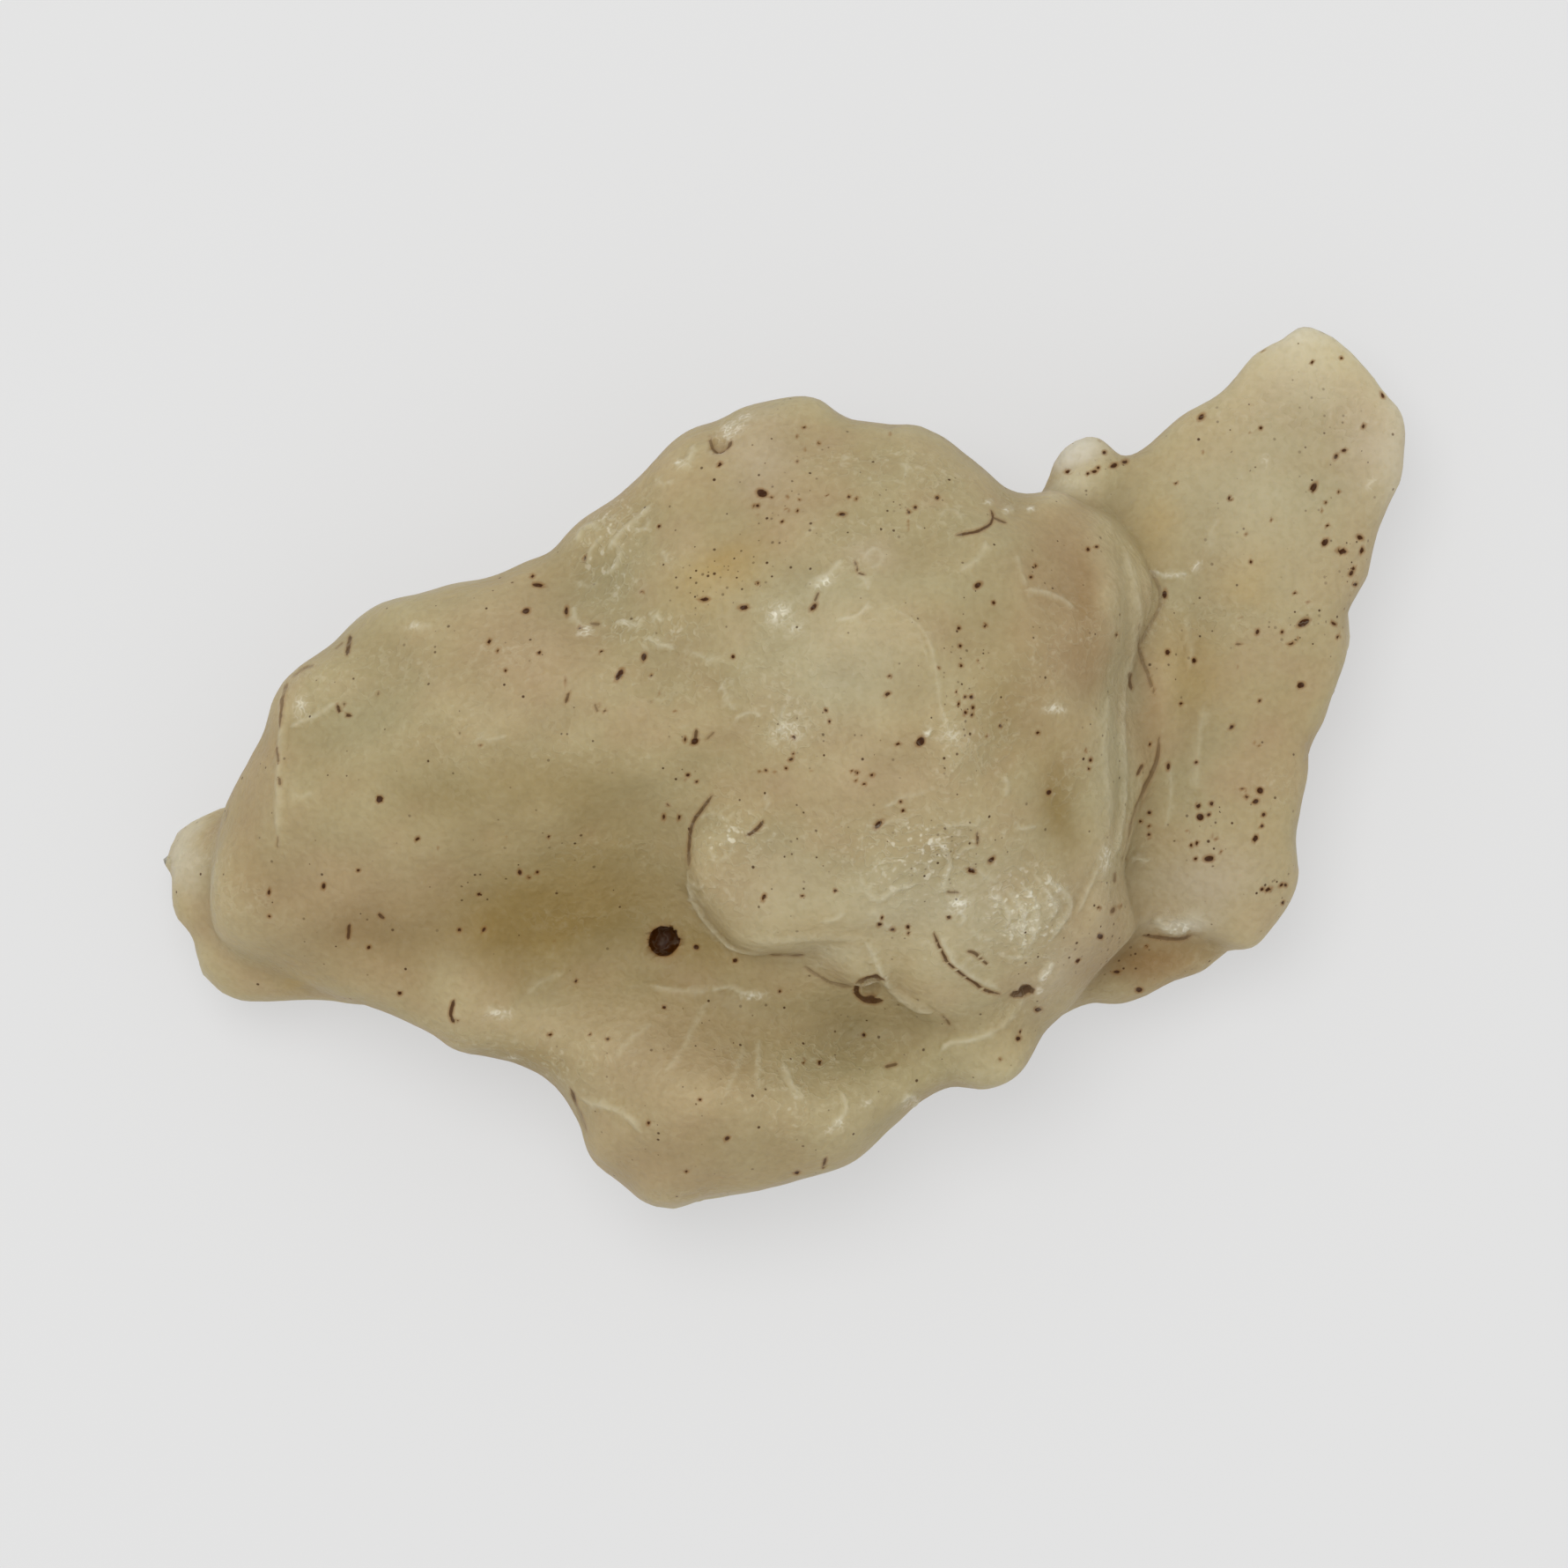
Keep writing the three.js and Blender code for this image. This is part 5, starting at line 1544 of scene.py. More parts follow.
# Where each tone lies on the glass, and how strongly, from above.
ZONES = {
    # The moss zones on the left lobe, the crest and the fin lie where upward faces catch the broad sheen of
    # a light overhead. Their greyer green is partly painted sheen and partly the glass's own grey-green.
    Tone.MOSS: mounds(
        ("left lobe", (-18.4, 4.4), (3.2, 4.8), 0.8),
        ("left foot of the facet", (-22.4, -2.8), (2.0, 2.4), 0.6),
        ("crest left", (-7.6, 8.8), (3.0, 3.0), 0.8),
        ("crest middle", (0.4, 5.2), (4.4, 3.2), 0.7),
        ("crown top", (6.0, 14.4), (3.6, 1.8), 0.6),
        ("flank", (14.9, 3.6), (1.1, 7.2), 0.9),
        ("brow middle", (-0.2, -5.0), (1.0, 1.0), 0.5),
        ("fin middle", (21.6, 12.0), (4.0, 5.2), 0.4),
        ("fin stripe", (19.2, 1.2), (1.2, 3.6), 0.75),
        ("strap foot", (7.0, -12.0), (1.6, 1.2), 0.6),
        ("lower right", (1.2, -14.0), (3.6, 2.8), 0.6),
    ),
    Tone.ROSE: mounds(
        ("left saddle", (-11.6, 6.0), (3.2, 2.8), 0.9),
        ("left end", (-20.4, -4.8), (4.8, 2.0), 0.8),
        ("left facet", (-24.2, 0.8), (1.2, 3.2), 0.7),
        ("crest edge", (-8.0, 12.8), (3.0, 1.3), 0.8, 40),
        ("crest specks", (0.0, 12.4), (1.8, 2.0), 0.7),
        ("crown right", (12.8, 10.0), (1.8, 2.6), 1.0),
        ("crown right below", (13.0, 5.8), (1.8, 2.0), 0.9),
        ("middle", (4.0, 0.2), (3.2, 1.6), 0.7),
        ("brow", (-2.0, -4.8), (2.4, 2.0), 0.6),
        ("flank root", (16.8, 4.0), (0.8, 2.4), 0.9),
        ("right shoulder", (14.4, -6.0), (2.4, 2.4), 0.7),
        ("lower lobe", (-5.6, -12.0), (4.4, 2.8), 0.7),
        ("lower tip", (-6.0, -17.6), (2.8, 1.4), 0.7),
        ("fin border", (26.4, 9.6), (1.2, 2.8), 0.7),
        ("fin low", (22.0, 0.8), (1.6, 1.6), 0.6),
    ),
    # Olive in the valley, its arm, its end and its mouth, and under the brow, is painted shade where the
    # brow and the lobes shade the valley.
    Tone.OLIVE: mounds(
        ("valley", (-8.4, -5.0), (5.4, 3.0), 0.85),
        ("valley arm", (-3.2, -8.0), (2.4, 1.0), 0.4),
        ("valley end", (-12.4, -6.8), (3.2, 2.0), 0.8),
        ("under the brow", (-3.4, -6.9), (1.4, 1.2), 0.4),
        ("valley mouth", (3.8, -10.4), (4.4, 1.2), 0.2),
        ("crown hollow", (5.2, 4.4), (1.2, 2.4), 0.5),
        ("crown side", (9.6, 3.6), (1.2, 2.0), 0.5),
        ("beside the chin", (12.4, -1.0), (0.9, 2.4), 0.9),
        ("left middle", (-11.6, -0.4), (6.0, 1.6), 0.5),
        ("lower left edge", (-11.6, -12.4), (2.4, 0.8), 0.6),
    ),
    # Bark on the right foot and on the left lobe's low side is painted shade, where they face down and away
    # from the light.
    Tone.BARK: mounds(
        ("right foot", (16.4, -8.4), (3.6, 1.4), 1.0),
        ("left low", (-19.2, -7.2), (4.8, 2.2), 0.55),
        ("left end", (-23.4, -2.4), (1.8, 3.2), 0.25),
        ("crown right", (12.2, 8.0), (2.4, 4.4), 0.4),
        ("lower lobe", (-4.2, -15.6), (5.2, 3.0), 0.3),
        ("flank root", (16.4, 2.0), (0.7, 3.4), 0.55),
        ("crown side", (13.6, 7.6), (0.6, 3.4), 0.6),
    ),
    Tone.LILAC: mounds(
        ("fin border", (26.8, 16.4), (1.6, 3.2), 0.8),
        ("fin tip", (23.6, 20.0), (1.6, 1.6), 0.6),
        ("fin foot", (19.2, -4.8), (2.8, 2.0), 0.7),
        ("beside the chip", (-1.2, 14.8), (1.6, 2.0), 0.7),
        ("fin bud", (13.5, 15.1), (1.0, 0.6), 1.0),
        ("strap", (12.4, -8.8), (1.0, 2.0), 0.6, -30),
        ("crest ring", (4.0, 10.2), (1.0, 0.7), 0.6),
    ),
    Tone.STRAW: mounds(
        ("stain", (-2.6, 9.4), (1.8, 1.1), 0.9, 35),
        ("fin spot", (21.4, 9.6), (1.4, 1.4), 0.8),
        ("fin root", (16.8, 11.6), (1.0, 1.6), 0.6),
        ("fin root below", (18.4, 5.2), (1.6, 2.0), 0.6),
        ("fin middle", (20.4, 13.2), (2.8, 2.8), 0.15),
        ("chin left", (5.6, -8.0), (1.8, 1.6), 0.5),
        ("brow rim", (2.0, -6.9), (2.4, 0.6), 0.6),
        ("ledge stain", (-22.3, -9.1), (0.6, 0.4), 0.9),
    ),
    # Cream on the ledge, the fin, its tip and its bud's foot is painted light, paler where the glass is
    # thin and light shines through it. On the fin's lip it is a painted highlight, and on the crest a
    # painted sheen.
    Tone.CREAM: mounds(
        ("ledge", (-27.1, -3.0), (1.2, 1.6), 0.6, 0, 2),
        ("ledge foot", (-26.0, -7.8), (1.6, 1.2), 0.2),
        ("fin bud foot", (13.0, 13.7), (1.1, 0.6), 1.0),
        ("fin tip", (24.0, 19.0), (3.0, 2.6), 0.8),
        ("fin", (21.6, 13.0), (4.8, 5.6), 0.4),
        ("fin lip", (17.9, -6.2), (1.0, 0.6), 0.8),
        ("chin grain", (11.0, -6.0), (1.6, 2.0), 0.1),
        ("crest", (2.4, 5.6), (3.6, 3.2), 0.45),
        ("chin", (7.0, -6.0), (5.0, 3.4), 0.5),
        ("brow", (-0.6, -4.4), (3.4, 3.0), 0.25),
        ("lip", (1.8, -7.8), (2.0, 1.0), 0.35),
        ("flank", (15.4, 3.2), (1.0, 5.0), 0.25),
    ),
    # Pearl is painted light: whitest where the ledge and the fin's bud, tip and edge are thin enough for
    # light to shine through, and a painted highlight on the fin's lip.
    Tone.PEARL: mounds(
        ("fin bud", (13.4, 15.3), (1.6, 1.0), 0.85, 0, 2),
        ("ledge", (-27.1, -3.6), (1.0, 2.0), 0.3, 0, 2),
        ("fin tip", (23.8, 20.8), (1.4, 1.2), 0.4),
        ("fin lip", (17.8, -6.4), (1.2, 0.4), 0.4),
        ("fin edge", (28.0, 15.2), (0.8, 3.2), 0.4),
    ),
}


@dataclass(frozen=True)
class Tinting:
    """How the tones are laid over one another, from the glass out to the frost, with painted shade in the
    hollows and on the sides, and painted light on the crests.
    """

    moss: float = 0.25
    rose: float = -0.05
    mottled: float = 0.9  # how strongly the mottle parts the moss from the rose
    flecked: float = 0.3
    drift: float = 1.1  # how far the zones' edges wander
    zone: float = 0.9
    zone_mottled: float = 0.35
    # how strongly olive is painted into the hollows as shade, and cream onto the crests as light
    painted_hollow_shade: float = 0.6
    painted_crest_light: float = 0.5
    side_up: float = 0.3  # the upward part of a normal where the side's tones begin
    side_gain: float = 2.5
    bark: float = 0.3
    side_clouds: float = 1.6
    most_bark: float = 0.7
    most_lilac: float = 0.6
    # how strongly the bruises' frost is laid on, with its painted highlights
    frost_and_glint: float = 0.25

    MOTTLE = Clouds(2.2, 61, 3)
    FLECKS = Clouds(0.9, 71, 2)
    DRIFT_X = Clouds(3.0, 81, 3)
    DRIFT_Y = Clouds(3.0, 91, 3)
    BARK_CLOUDS = Clouds(4.0, 111, 2)
    LILAC_CLOUDS = Clouds(2.6, 121, 2)

    def colours(self, skin: Skin, face: Face, shown: Array) -> Array:
        """The colour at each point.

        Args:
            skin: the skin before its marks.
            face: the marks.
            shown: how far each point faces up, where the marks show.

        Returns:
            Linear colours, shape (n, 3).
        """
        points = skin.points
        colours = np.tile(Tone.HONEY.value, (len(points), 1))
        mottle, flecks = self.MOTTLE.over(points), self.FLECKS.over(points)
        lay(colours, Tone.MOSS, self.moss + self.mottled * mottle)
        lay(colours, Tone.ROSE, self.rose - self.mottled * mottle + self.flecked * flecks)
        x = points[:, 0] + self.drift * self.DRIFT_X.over(points)
        y = points[:, 1] + self.drift * self.DRIFT_Y.over(points)
        for tone, zones in ZONES.items():
            strength = np.clip(height_of(zones, x, y), 0, 1)
            lay(colours, tone, strength * (self.zone + self.zone_mottled * mottle))
        # Painted shade and painted light: olive darkens the hollows and cream lightens the crests, by how
        # hollow the skin lies.
        lay(colours, Tone.OLIVE, self.painted_hollow_shade * skin.hollow)
        lay(colours, Tone.CREAM, -self.painted_crest_light * skin.hollow)
        # Painted shade: where the skin turns away from above, at its rims, sides and underside, it darkens
        # towards bark brown. The lilac laid there is a random cloudy tone.
        side = np.clip(self.side_gain * (self.side_up - skin.normals()[:, 2]), 0, 1)
        bark = self.bark + self.side_clouds * self.BARK_CLOUDS.over(points)
        lay(colours, Tone.BARK, side * np.clip(bark, 0, self.most_bark))
        lilac = self.side_clouds * self.LILAC_CLOUDS.over(points)
        lay(colours, Tone.LILAC, side * np.clip(lilac, 0, self.most_lilac))
        lay(colours, Tone.CREAM, face.pale * shown)
        lay(colours, Tone.AMBER, face.halo * shown)
        # The bruises' white, in places a painted highlight.
        lay(colours, Tone.FROST_AND_GLINT, self.frost_and_glint * face.frost_and_glint * shown)
        return colours


def lay(colours: Array, tone: Tone, strength: Array) -> None:
    """Lays a tone over colours.

    Args:
        colours: the colours, changed where they are, shape (n, 3).
        tone: the tone.
        strength: how strong it is at each point. It shows from 0 to 1, shape (n,).
    """
    colours += np.clip(strength, 0, 1)[:, None] * (np.array(tone.value) - colours)


# ----------------------
# Wear, and the lump itself


@dataclass(frozen=True)
class Weathering:
    """How the wind has worn the lump and where fine dust, crinkles and bruises lie. Lengths in mm."""

    dimple: float = 0.05
    small_dimple: float = 0.03
    dimple_middle: float = 0.5
    roughness: float = 0.03
    side_up: float = 0.75  # the upward part of a normal where the sides begin
    side_gain: float = 1.3
    rim_up: float = 0.02  # the upward part of a normal at the rims
    rim_gain: float = 4
    rim_spared: float = 0.2
    upper_side: float = 0.4  # how deep the upper sides' dimples are beside the lower sides'
    side_dimple: float = 0.8
    side_dimple_middle: float = 0.6
    side_swell: float = 0.3
    hollow_rounds: int = 40
    dust: float = 0.028
    patch_dust: float = 0.25
    patch_gain: float = 2.5
    crinkle: float = 0.04
    skin_crinkle: float = 0.32
    skin_share: float = 0.1
    skin_gain: float = 2
    hidden_crinkle: float = 0.5  # the crinkle where no mark shows

    DIMPLES = Scallops(2.4, 1)
    SMALL_DIMPLES = Scallops(1.1, 2)
    SIDE_DIMPLES = Scallops(3.6, 5)
    ROUGHNESS = Clouds(0.9, 3, 2)
    SIDE_SWELLS = Clouds(1.7, 6, 2)
    PATCHES = Clouds(4.0, 111, 2)
    SKINNED = Clouds(2.5, 131, 2)

    def worn(self, skin: Skin) -> Skin:
        """Wears dimples into the skin, cuts the foot flat and notes how hollow each point lies.

        The face takes shallow dimples. The sides take deep ones, except at the rims, and so does the
        underside. A point is as hollow as the smooth skin over it is high.

        Args:
            skin: the skin, changed where it is.

        Returns:
            The same skin.
        """
        points, normals = skin.points, skin.normals()
        up = normals[:, 2]
        wear = self.dimple * (self.DIMPLES.over(points) - self.dimple_middle)
        wear += self.small_dimple * (self.SMALL_DIMPLES.over(points) - self.dimple_middle)
        wear += self.roughness * self.ROUGHNESS.over(points)
        side = np.clip(self.side_gain * (self.side_up - up), 0, 1)
        side *= np.clip(self.rim_gain * np.abs(up - self.rim_up) - self.rim_spared, 0, 1)
        side *= np.where(up > 0, self.upper_side, 1.0)
        deep = self.side_dimple * (self.SIDE_DIMPLES.over(points) - self.side_dimple_middle)
        wear += side * (deep + self.side_swell * self.SIDE_SWELLS.over(points))
        skin.points = on_the_floor(points + normals * wear[:, None])
        skin.hollow = np.sum((skin.relaxed(self.hollow_rounds) - skin.points) * normals, axis=1)
        return skin

    def rows(self, skin: Skin, face: Face, shown: Array) -> Array:
        """How thick the dust lies at each point, and how crinkled and how bruised the glass is there.

        Args:
            skin: the skin before its marks.
            face: the marks.
            shown: how far each point faces up, where the marks show.

        Returns:
            The three strengths and a 1, shape (n, 4).
        """
        x, y = skin.points[:, 0], skin.points[:, 1]
        patches = np.clip(self.patch_gain * self.PATCHES.over(skin.points), 0, 1) * (1 - shown)
        skinned = np.clip(self.skin_share + self.skin_gain * self.SKINNED.over(skin.points), 0, 1)
        dust = self.dust + shown * height_of(DUST, x, y) + self.patch_dust * patches
        crinkle = self.crinkle + self.skin_crinkle * skinned + shown * height_of(CRINKLES, x, y)
        crinkle += self.hidden_crinkle * (1 - shown - patches)
        return np.column_stack([dust, crinkle, face.frost_and_glint * shown, np.ones(len(x))])


def on_the_floor(points: Array) -> Array:
    """The points, with none of them below the floor."""
    return np.column_stack([points[:, :2], np.maximum(points[:, 2], 0.0)])


@dataclass(frozen=True)
class Lump:
    """The lump: its lobes, its wear and its dress. Lengths in mm."""

    lobes: tuple[Lobe, ...]
    weathering: Weathering = Weathering()
    tinting: Tinting = Tinting()
    grain: float = 0.385
    blend_rounds: int = 3
    near_mark: float = 0.6  # the reach of the first finer faces round a mark, beside the grain
    lowest_mark: float = 2.0  # marks begin above this height
    upward: float = 0.02  # the upward part of a normal where marks begin to show
    upward_gain: float = 6
    most_triangles: int = 200_000

    def build(self) -> bpy.types.Object:
        """Builds the lump and dresses it.

        Returns:
            The finished object, at the origin, in metres.
        """
        skin = self.fused_skin()
        skin.points = skin.relaxed(self.blend_rounds)
        marks = all_marks()
        skin = self.finer_near(self.weathering.worn(skin), marks)
        face = Face.blank(skin.points)
        for mark in marks:
            mark.press(face)
        normals = skin.normals()
        shown = np.clip((normals[:, 2] - self.upward) * self.upward_gain, 0, 1)
        shown = shown * (skin.points[:, 2] > self.lowest_mark)
        points = on_the_floor(skin.points + normals * (face.rise * shown)[:, None])
        mesh = put_mesh("desert_glass_lump", points * METRES, skin.faces)
        colours = self.tinting.colours(skin, face, shown)
        put_attribute(mesh, "tone", np.column_stack([colours, np.ones(len(colours))]))
        # The wear's third part is the bruises' frost, which in places is a painted highlight.
        put_attribute(mesh, "wear", self.weathering.rows(skin, face, shown))
        inked = np.clip((normals[:, 2] - STEEP) / (GENTLE - STEEP), 0, 1) * shown
        put_attribute(mesh, "ink", face.ink * inked)
        put_attribute(mesh, "ink_edge", face.edge)
        mesh.materials.append(GlassFinish().material())
        lump = bpy.data.objects.new(mesh.name, mesh)
        bpy.context.scene.collection.objects.link(lump)
        LOG.info("%s: %d marks, %d triangles", lump.name, len(marks), len(skin.faces))
        if len(skin.faces) >= self.most_triangles:
            LOG.warning("%s: %d triangles or more", lump.name, self.most_triangles)
        return lump

    def fused_skin(self) -> Skin:
        """The lobes' surfaces fused into one skin.

        Returns:
            The skin, with its creases still sharp.
        """
        points, faces, count = [], [], 0
        for lobe in self.lobes:
            lobe_points, lobe_faces = lobe.surface()
            points.append(lobe_points)
            faces.append(lobe_faces + count)
            count += len(lobe_points)
            LOG.info("lobe %s: %d points", lobe.name, len(lobe_points))
        return fuse(put_mesh("shells", np.vstack(points), np.vstack(faces)), self.grain)

    def finer_near(self, skin: Skin, marks: list[Mark]) -> Skin:
        """Cuts the faces near the marks finer, in rounds, the most for the finest marks.

        Each round halves the faces that it cuts, so its margin round the marks is half as wide too.

        Args:
            skin: the worn skin.
            marks: the marks, each of which says how many rounds it needs.

        Returns:
            The finer skin.
        """
        margin = self.near_mark * self.grain
        for cut in range(1, max(mark.cuts for mark in marks) + 1):
            face = Face.blank(skin.points)
            chosen = np.zeros(len(skin.points), dtype=bool)
            for mark in marks:
                if mark.cuts >= cut:
                    near = face.near(mark, margin)
                    chosen[near] |= mark.gap(face.x[near], face.y[near]) < margin
            chosen &= (skin.normals()[:, 2] > 0) & (skin.points[:, 2] > self.lowest_mark)
            skin = skin.refined(chosen)
            LOG.info("cut %d: %d triangles", cut, len(skin.faces))
            margin /= 2
        return skin


# ----------------------
# Finish


@dataclass(frozen=True)
class GlassFinish:
    """Cloudy natural glass, frosted by the wind, with fine dust in its smallest pits. Lengths in metres."""

    ior: float = 1.46
    sheen_level: float = 0.15
    transmission: float = 0.06
    subsurface: float = 0.6
    scatter_depth: float = 0.005
    scatter_reach: tuple[float, float, float] = (1.0, 0.85, 0.6)
    grain_per_metre: float = 3000.0
    crinkles_per_metre: float = 1500.0
    pinholes_per_metre: float = 3500.0
    middle: float = 0.5  # the value that a noise swings round
    rough_grain: Spread = (0.3, 0.7, 0.43, 0.57)
    thread: Spread = (0.045, 0.0, 0.0, 1.0)
    dark_grain: Spread = (0.3, 0.6, 0.35, 0.0)
    dark_tint: Colour = (0.82, 0.8, 0.74)
    pale_grain: Spread = (0.55, 0.8, 0.0, 0.08)
    glint_grain: Spread = (0.6, 0.72, 0.0, 1.0)
    glint: float = 0.5
    glint_power: float = 2.0
    pale_thread: float = 0.45
    stain_reach: float = 0.13  # in millimetres, as is the distance that it is held against
    stain: float = 0.7
    edge_softness: float = 0.02  # in millimetres
    bruise_thread: Spread = (0.1, 0.02, 0.12, 1.0)
    pinhole_size: Spread = (0.0, 1.0, 0.16, 0.34)
    pinhole_edge: Spread = (1.0, 0.5, 0.0, 1.0)
    pinhole_ink: Spread = (0.0, 1.0, 0.35, 0.95)
    bump_strength: float = 0.6
    bump_height: float = 0.00008
    cloud_bump: float = 2.0
    thread_bump: float = 1.2

    def material(self) -> bpy.types.Material:
        """Makes the material.

        Returns:
            The material, one shader that reads Object coordinates and the skin's own tone, wear and ink.
        """
        material = bpy.data.materials.new("desert_glass")
        material.use_nodes = True
        nodes = Nodes(material.node_tree)
        shader = material.node_tree.nodes["Principled BSDF"]
        shader.inputs["IOR"].default_value = self.ior
        shader.inputs["Specular IOR Level"].default_value = self.sheen_level
        shader.inputs["Transmission Weight"].default_value = self.transmission
        shader.inputs["Subsurface Weight"].default_value = self.subsurface
        shader.inputs["Subsurface Scale"].default_value = self.scatter_depth
        shader.inputs["Subsurface Radius"].default_value = self.scatter_reach
        dust, crinkled, frost_and_glint = nodes.parts(nodes.attribute("wear", "Color"))
        grain = nodes.noise(self.grain_per_metre, detail=1)
        cloud = nodes.noise(self.crinkles_per_metre, detail=2)
        thread = nodes.math("MULTIPLY", nodes.spread(self.away(nodes, cloud), self.thread), crinkled)
        nodes.link(nodes.spread(grain, self.rough_grain), shader.inputs["Roughness"])
        colour = self.inked(nodes, nodes.attribute("tone", "Color"))
        colour = self.grained(nodes, colour, grain, thread, crinkled)
        colour = self.bruised(nodes, colour, grain, frost_and_glint)
        nodes.link(self.dusted(nodes, colour, dust), shader.inputs["Base Color"])
        rough_face = nodes.math("ADD", grain, nodes.math("MULTIPLY", cloud, self.cloud_bump))
        nodes.link(self.bump(nodes, rough_face, thread), shader.inputs["Normal"])
        return material

    def away(self, nodes: "Nodes", noise: Socket) -> Socket:
        """How far a noise is from its middle value. Where that is nothing, it draws fine threads."""
        return nodes.math("ABSOLUTE", nodes.math("SUBTRACT", noise, self.middle))

    def inked(self, nodes: "Nodes", colour: Socket) -> Socket:
        """The inked marks, each with a sharp edge and a brown stain in the glass round it.

        Args:
            nodes: the material's nodes.
            colour: the colour under the marks.

        Returns:
            The colour with the marks.
        """
        ink, edge = nodes.attribute("ink", "Fac"), nodes.attribute("ink_edge", "Fac")
        reach = nodes.spread(edge, (self.stain_reach, 0.0, 0.0, self.stain))
        stained = nodes.mixed("MIX", nodes.math("MULTIPLY", reach, ink), colour, Tone.AMBER.value)
        inside = nodes.spread(edge, (self.edge_softness, -self.edge_softness, 0.0, 1.0))
        return nodes.mixed("MIX", nodes.math("MULTIPLY", inside, ink), stained, Tone.INK.value)

    def grained(
        self, nodes: "Nodes", colour: Socket, grain: Socket, thread: Socket, crinkled: Socket
    ) -> Socket:
        """The glass's fine grain, with pale crinkles and painted glints of white light.

        Args:
            nodes: the material's nodes.
            colour: the colour under the grain.
            grain: the fine noise.
            thread: where the crinkles' threads are.
            crinkled: how crinkled the glass is, which also sets where the painted glints show.

        Returns:
            The colour with the grain.
        """
        cream = Tone.CREAM.value
        darker = nodes.mixed("MULTIPLY", nodes.spread(grain, self.dark_grain), colour, self.dark_tint)
        paler = nodes.mixed("MIX", nodes.spread(grain, self.pale_grain), darker, cream)
        threaded = nodes.mixed("MIX", nodes.math("MULTIPLY", thread, self.pale_thread), paler, cream)
        # Painted highlight: white glints where the grain peaks on the most crinkled glass.
        strong = nodes.math("POWER", crinkled, self.glint_power)
        glints = nodes.math("MULTIPLY", nodes.spread(grain, self.glint_grain), strong)
        return nodes.mixed("MIX", nodes.math("MULTIPLY", glints, self.glint), threaded, Tone.FROST_AND_GLINT.value)

    def bruised(self, nodes: "Nodes", colour: Socket, grain: Socket, frost_and_glint: Socket) -> Socket:
        """The bruises' tiny white cracks, where the grain passes its middle value, in places a painted
        highlight.

        Args:
            nodes: the material's nodes.
            colour: the colour under the bruises.
            grain: the fine noise.
            frost_and_glint: how bruised the glass is.

        Returns:
            The colour with the cracks.
        """
        threads = nodes.spread(self.away(nodes, grain), self.bruise_thread)
        return nodes.mixed("MIX", nodes.math("MULTIPLY", threads, frost_and_glint), colour, Tone.FROST_AND_GLINT.value)

    def dusted(self, nodes: "Nodes", colour: Socket, dust: Socket) -> Socket:
        """Dust in the glass's pinholes: a cell of the pattern has one where its draw is low.

        Args:
            nodes: the material's nodes.
            colour: the colour under the dust.
            dust: the share of the cells that hold a pinhole.

        Returns:
            The colour with the dust.
        """
        cells = nodes.add("ShaderNodeTexVoronoi")
        cells.inputs["Scale"].default_value = self.pinholes_per_metre
        nodes.link(nodes.coordinates(), cells.inputs["Vector"])
        draw, size_draw, ink_draw = nodes.parts(cells.outputs["Color"])
        picked = nodes.math("LESS_THAN", draw, dust)
        reach = nodes.math("DIVIDE", cells.outputs["Distance"], nodes.spread(size_draw, self.pinhole_size))
        ink = nodes.spread(ink_draw, self.pinhole_ink)
        dot = nodes.math("MULTIPLY", nodes.spread(reach, self.pinhole_edge), ink)
        return nodes.mixed("MIX", nodes.math("MULTIPLY", dot, picked), colour, Tone.INK.value)

    def bump(self, nodes: "Nodes", grain: Socket, thread: Socket) -> Socket:
        """The frosted grain of the face and its crinkles.

        Args:
            nodes: the material's nodes.
            grain: the height of the grain.
            thread: where the crinkles' threads are.

        Returns:
            The normal.
        """
        bump = nodes.add("ShaderNodeBump")
        bump.inputs["Strength"].default_value = self.bump_strength
        bump.inputs["Distance"].default_value = self.bump_height
        height = nodes.math("ADD", grain, nodes.math("MULTIPLY", thread, self.thread_bump))
        nodes.link(height, bump.inputs["Height"])
        return bump.outputs["Normal"]


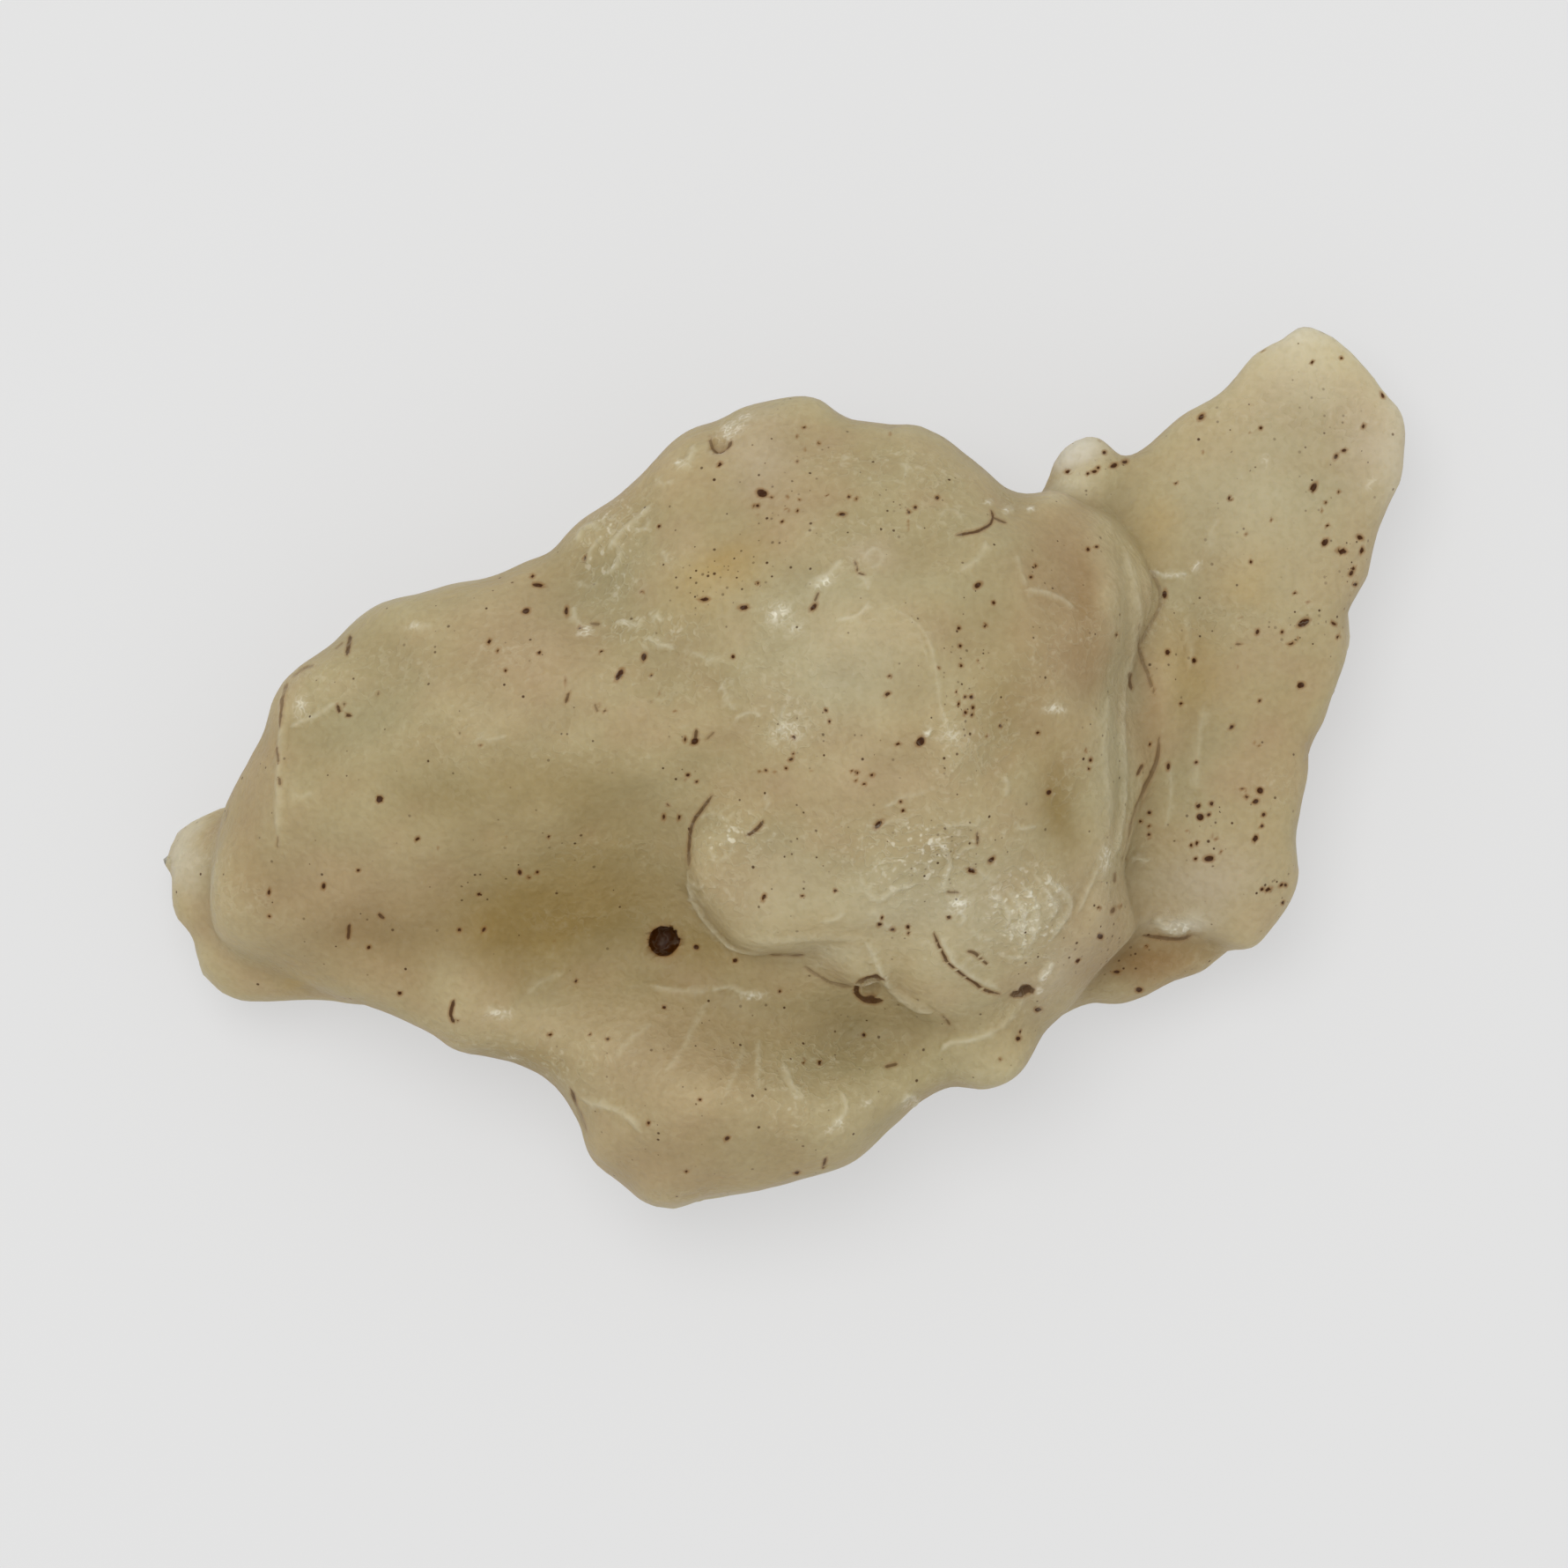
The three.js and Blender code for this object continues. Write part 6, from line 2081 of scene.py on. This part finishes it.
@dataclass(frozen=True)
class Nodes:
    """A material's nodes, added and linked by short calls."""

    tree: bpy.types.NodeTree

    def add(self, kind: str) -> bpy.types.Node:
        """Adds a node."""
        return self.tree.nodes.new(kind)

    def link(self, source: Socket, target: Socket) -> None:
        """Links two sockets."""
        self.tree.links.new(source, target)

    def coordinates(self) -> Socket:
        """The Object coordinates, from the tree's one coordinates node.

        Returns:
            The coordinates.
        """
        node = self.tree.nodes.get("coordinates") or self.add("ShaderNodeTexCoord")
        node.name = "coordinates"
        return node.outputs["Object"]

    def attribute(self, name: str, output: str) -> Socket:
        """One of the skin's own attributes.

        Args:
            name: its name.
            output: the node's output to take it from.

        Returns:
            The attribute.
        """
        node = self.add("ShaderNodeAttribute")
        node.attribute_name = name
        return node.outputs[output]

    def parts(self, colour: Socket) -> tuple[Socket, Socket, Socket]:
        """Takes a colour apart.

        Args:
            colour: the colour.

        Returns:
            Its red, green and blue.
        """
        node = self.add("ShaderNodeSeparateColor")
        self.link(colour, node.inputs["Color"])
        return node.outputs["Red"], node.outputs["Green"], node.outputs["Blue"]

    def noise(self, scale: float, detail: float) -> Socket:
        """A cloud of noise, from 0 to 1.

        Args:
            scale: how many blotches there are to the metre.
            detail: how many finer noises lie over it.

        Returns:
            The noise.
        """
        node = self.add("ShaderNodeTexNoise")
        node.inputs["Scale"].default_value = scale
        node.inputs["Detail"].default_value = detail
        self.link(self.coordinates(), node.inputs["Vector"])
        return node.outputs[0]

    def math(self, operation: str, first: Socket, second: Socket | float = 0.0) -> Socket:
        """A sum.

        Args:
            operation: the sum, by the node's own name for it.
            first: its first value.
            second: its second value, or a number.

        Returns:
            The result.
        """
        node = self.add("ShaderNodeMath")
        node.operation = operation
        self.link(first, node.inputs[0])
        if isinstance(second, float):
            node.inputs[1].default_value = second
        else:
            self.link(second, node.inputs[1])
        return node.outputs[0]

    def spread(self, source: Socket, spread: Spread) -> Socket:
        """Spreads values out smoothly between two others, and holds them there beyond.

        Args:
            source: the values.
            spread: where the change starts and ends, and the values there and there.

        Returns:
            The new values.
        """
        node = self.add("ShaderNodeMapRange")
        node.interpolation_type = "SMOOTHSTEP"
        self.link(source, node.inputs["Value"])
        for name, value in zip(("From Min", "From Max", "To Min", "To Max"), spread):
            node.inputs[name].default_value = value
        return node.outputs["Result"]

    def mixed(self, way: str, strength: Socket, under: Socket, over: Colour) -> Socket:
        """Lays a colour over another.

        Args:
            way: the way, by the node's own name for it.
            strength: how strongly, from 0 to 1.
            under: the colour underneath.
            over: the colour that is laid over it.

        Returns:
            The colour.
        """
        node = self.add("ShaderNodeMix")
        node.data_type = "RGBA"
        node.blend_type = way
        self.link(strength, node.inputs["Factor"])
        self.link(under, node.inputs["A"])
        node.inputs["B"].default_value = (*over, 1.0)
        return node.outputs["Result"]


# ----------------------
# Floor, light and camera


@dataclass(frozen=True)
class Studio:
    """A pale floor, soft light from above and a long lens looking straight down. Lengths in metres."""

    floor_size: float = 4.0
    floor_grey: float = 0.25
    floor_glow: float = 0.5
    daylight: float = 0.72
    lamp_size: float = 0.4
    lamp_power: float = 2.2
    lamp_place: tuple[float, float, float] = (-0.1, 0.16, 0.7)
    view_width: float = 0.0712
    lens: float = 300.0
    sensor: float = 36.0
    focus_height: float = 0.009
    nearest_seen: float = 0.01

    WHITE = (1, 1, 1, 1)

    def floor(self) -> bpy.types.Object:
        """The pale floor that the lump lies on.

        Returns:
            The floor, one square face.
        """
        half = self.floor_size / 2
        corners = np.array([[-half, -half, 0], [half, -half, 0], [half, half, 0], [-half, half, 0]])
        mesh = put_mesh("floor", corners, np.array([[0, 1, 2, 3]]))
        material = bpy.data.materials.new("pale_floor")
        material.use_nodes = True
        shader = material.node_tree.nodes["Principled BSDF"]
        shader.inputs["Base Color"].default_value = (*[self.floor_grey] * 3, 1)
        shader.inputs["Roughness"].default_value = 1.0
        shader.inputs["Specular IOR Level"].default_value = 0.0
        shader.inputs["Emission Color"].default_value = self.WHITE
        shader.inputs["Emission Strength"].default_value = self.floor_glow
        mesh.materials.append(material)
        floor = bpy.data.objects.new("floor", mesh)
        bpy.context.scene.collection.objects.link(floor)
        return floor

    def light(self) -> None:
        """Even daylight from all round, and one broad soft lamp above."""
        world = bpy.data.worlds.new("daylight")
        world.use_nodes = True
        sky = world.node_tree.nodes["Background"]
        sky.inputs["Color"].default_value = self.WHITE
        sky.inputs["Strength"].default_value = self.daylight
        bpy.context.scene.world = world
        lamp = bpy.data.lights.new("soft_lamp", "AREA")
        lamp.shape = "DISK"
        lamp.size = self.lamp_size
        lamp.energy = self.lamp_power
        holder = bpy.data.objects.new("soft_lamp", lamp)
        holder.location = self.lamp_place
        holder.rotation_euler = (-Vector(self.lamp_place)).to_track_quat("-Z", "Y").to_euler()
        bpy.context.scene.collection.objects.link(holder)

    def camera(self) -> None:
        """A long lens straight above, with +Y at the top."""
        lens = bpy.data.cameras.new("camera")
        lens.lens = self.lens
        lens.sensor_width = self.sensor
        lens.clip_start = self.nearest_seen
        camera = bpy.data.objects.new("camera", lens)
        camera.location = (0, 0, self.focus_height + self.view_width / self.sensor * self.lens)
        bpy.context.scene.collection.objects.link(camera)
        bpy.context.scene.camera = camera
        bpy.context.scene.view_settings.view_transform = "Standard"


def main() -> None:
    """Builds the lump and its studio."""
    logging.basicConfig(level=logging.INFO, format="%(name)s: %(message)s")
    lump = Lump(LOBES).build()
    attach(lump, BODY)
    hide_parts(NODE)
    studio = Studio()
    studio.floor()
    studio.light()
    studio.camera()


if __name__ == "__main__":
    main()
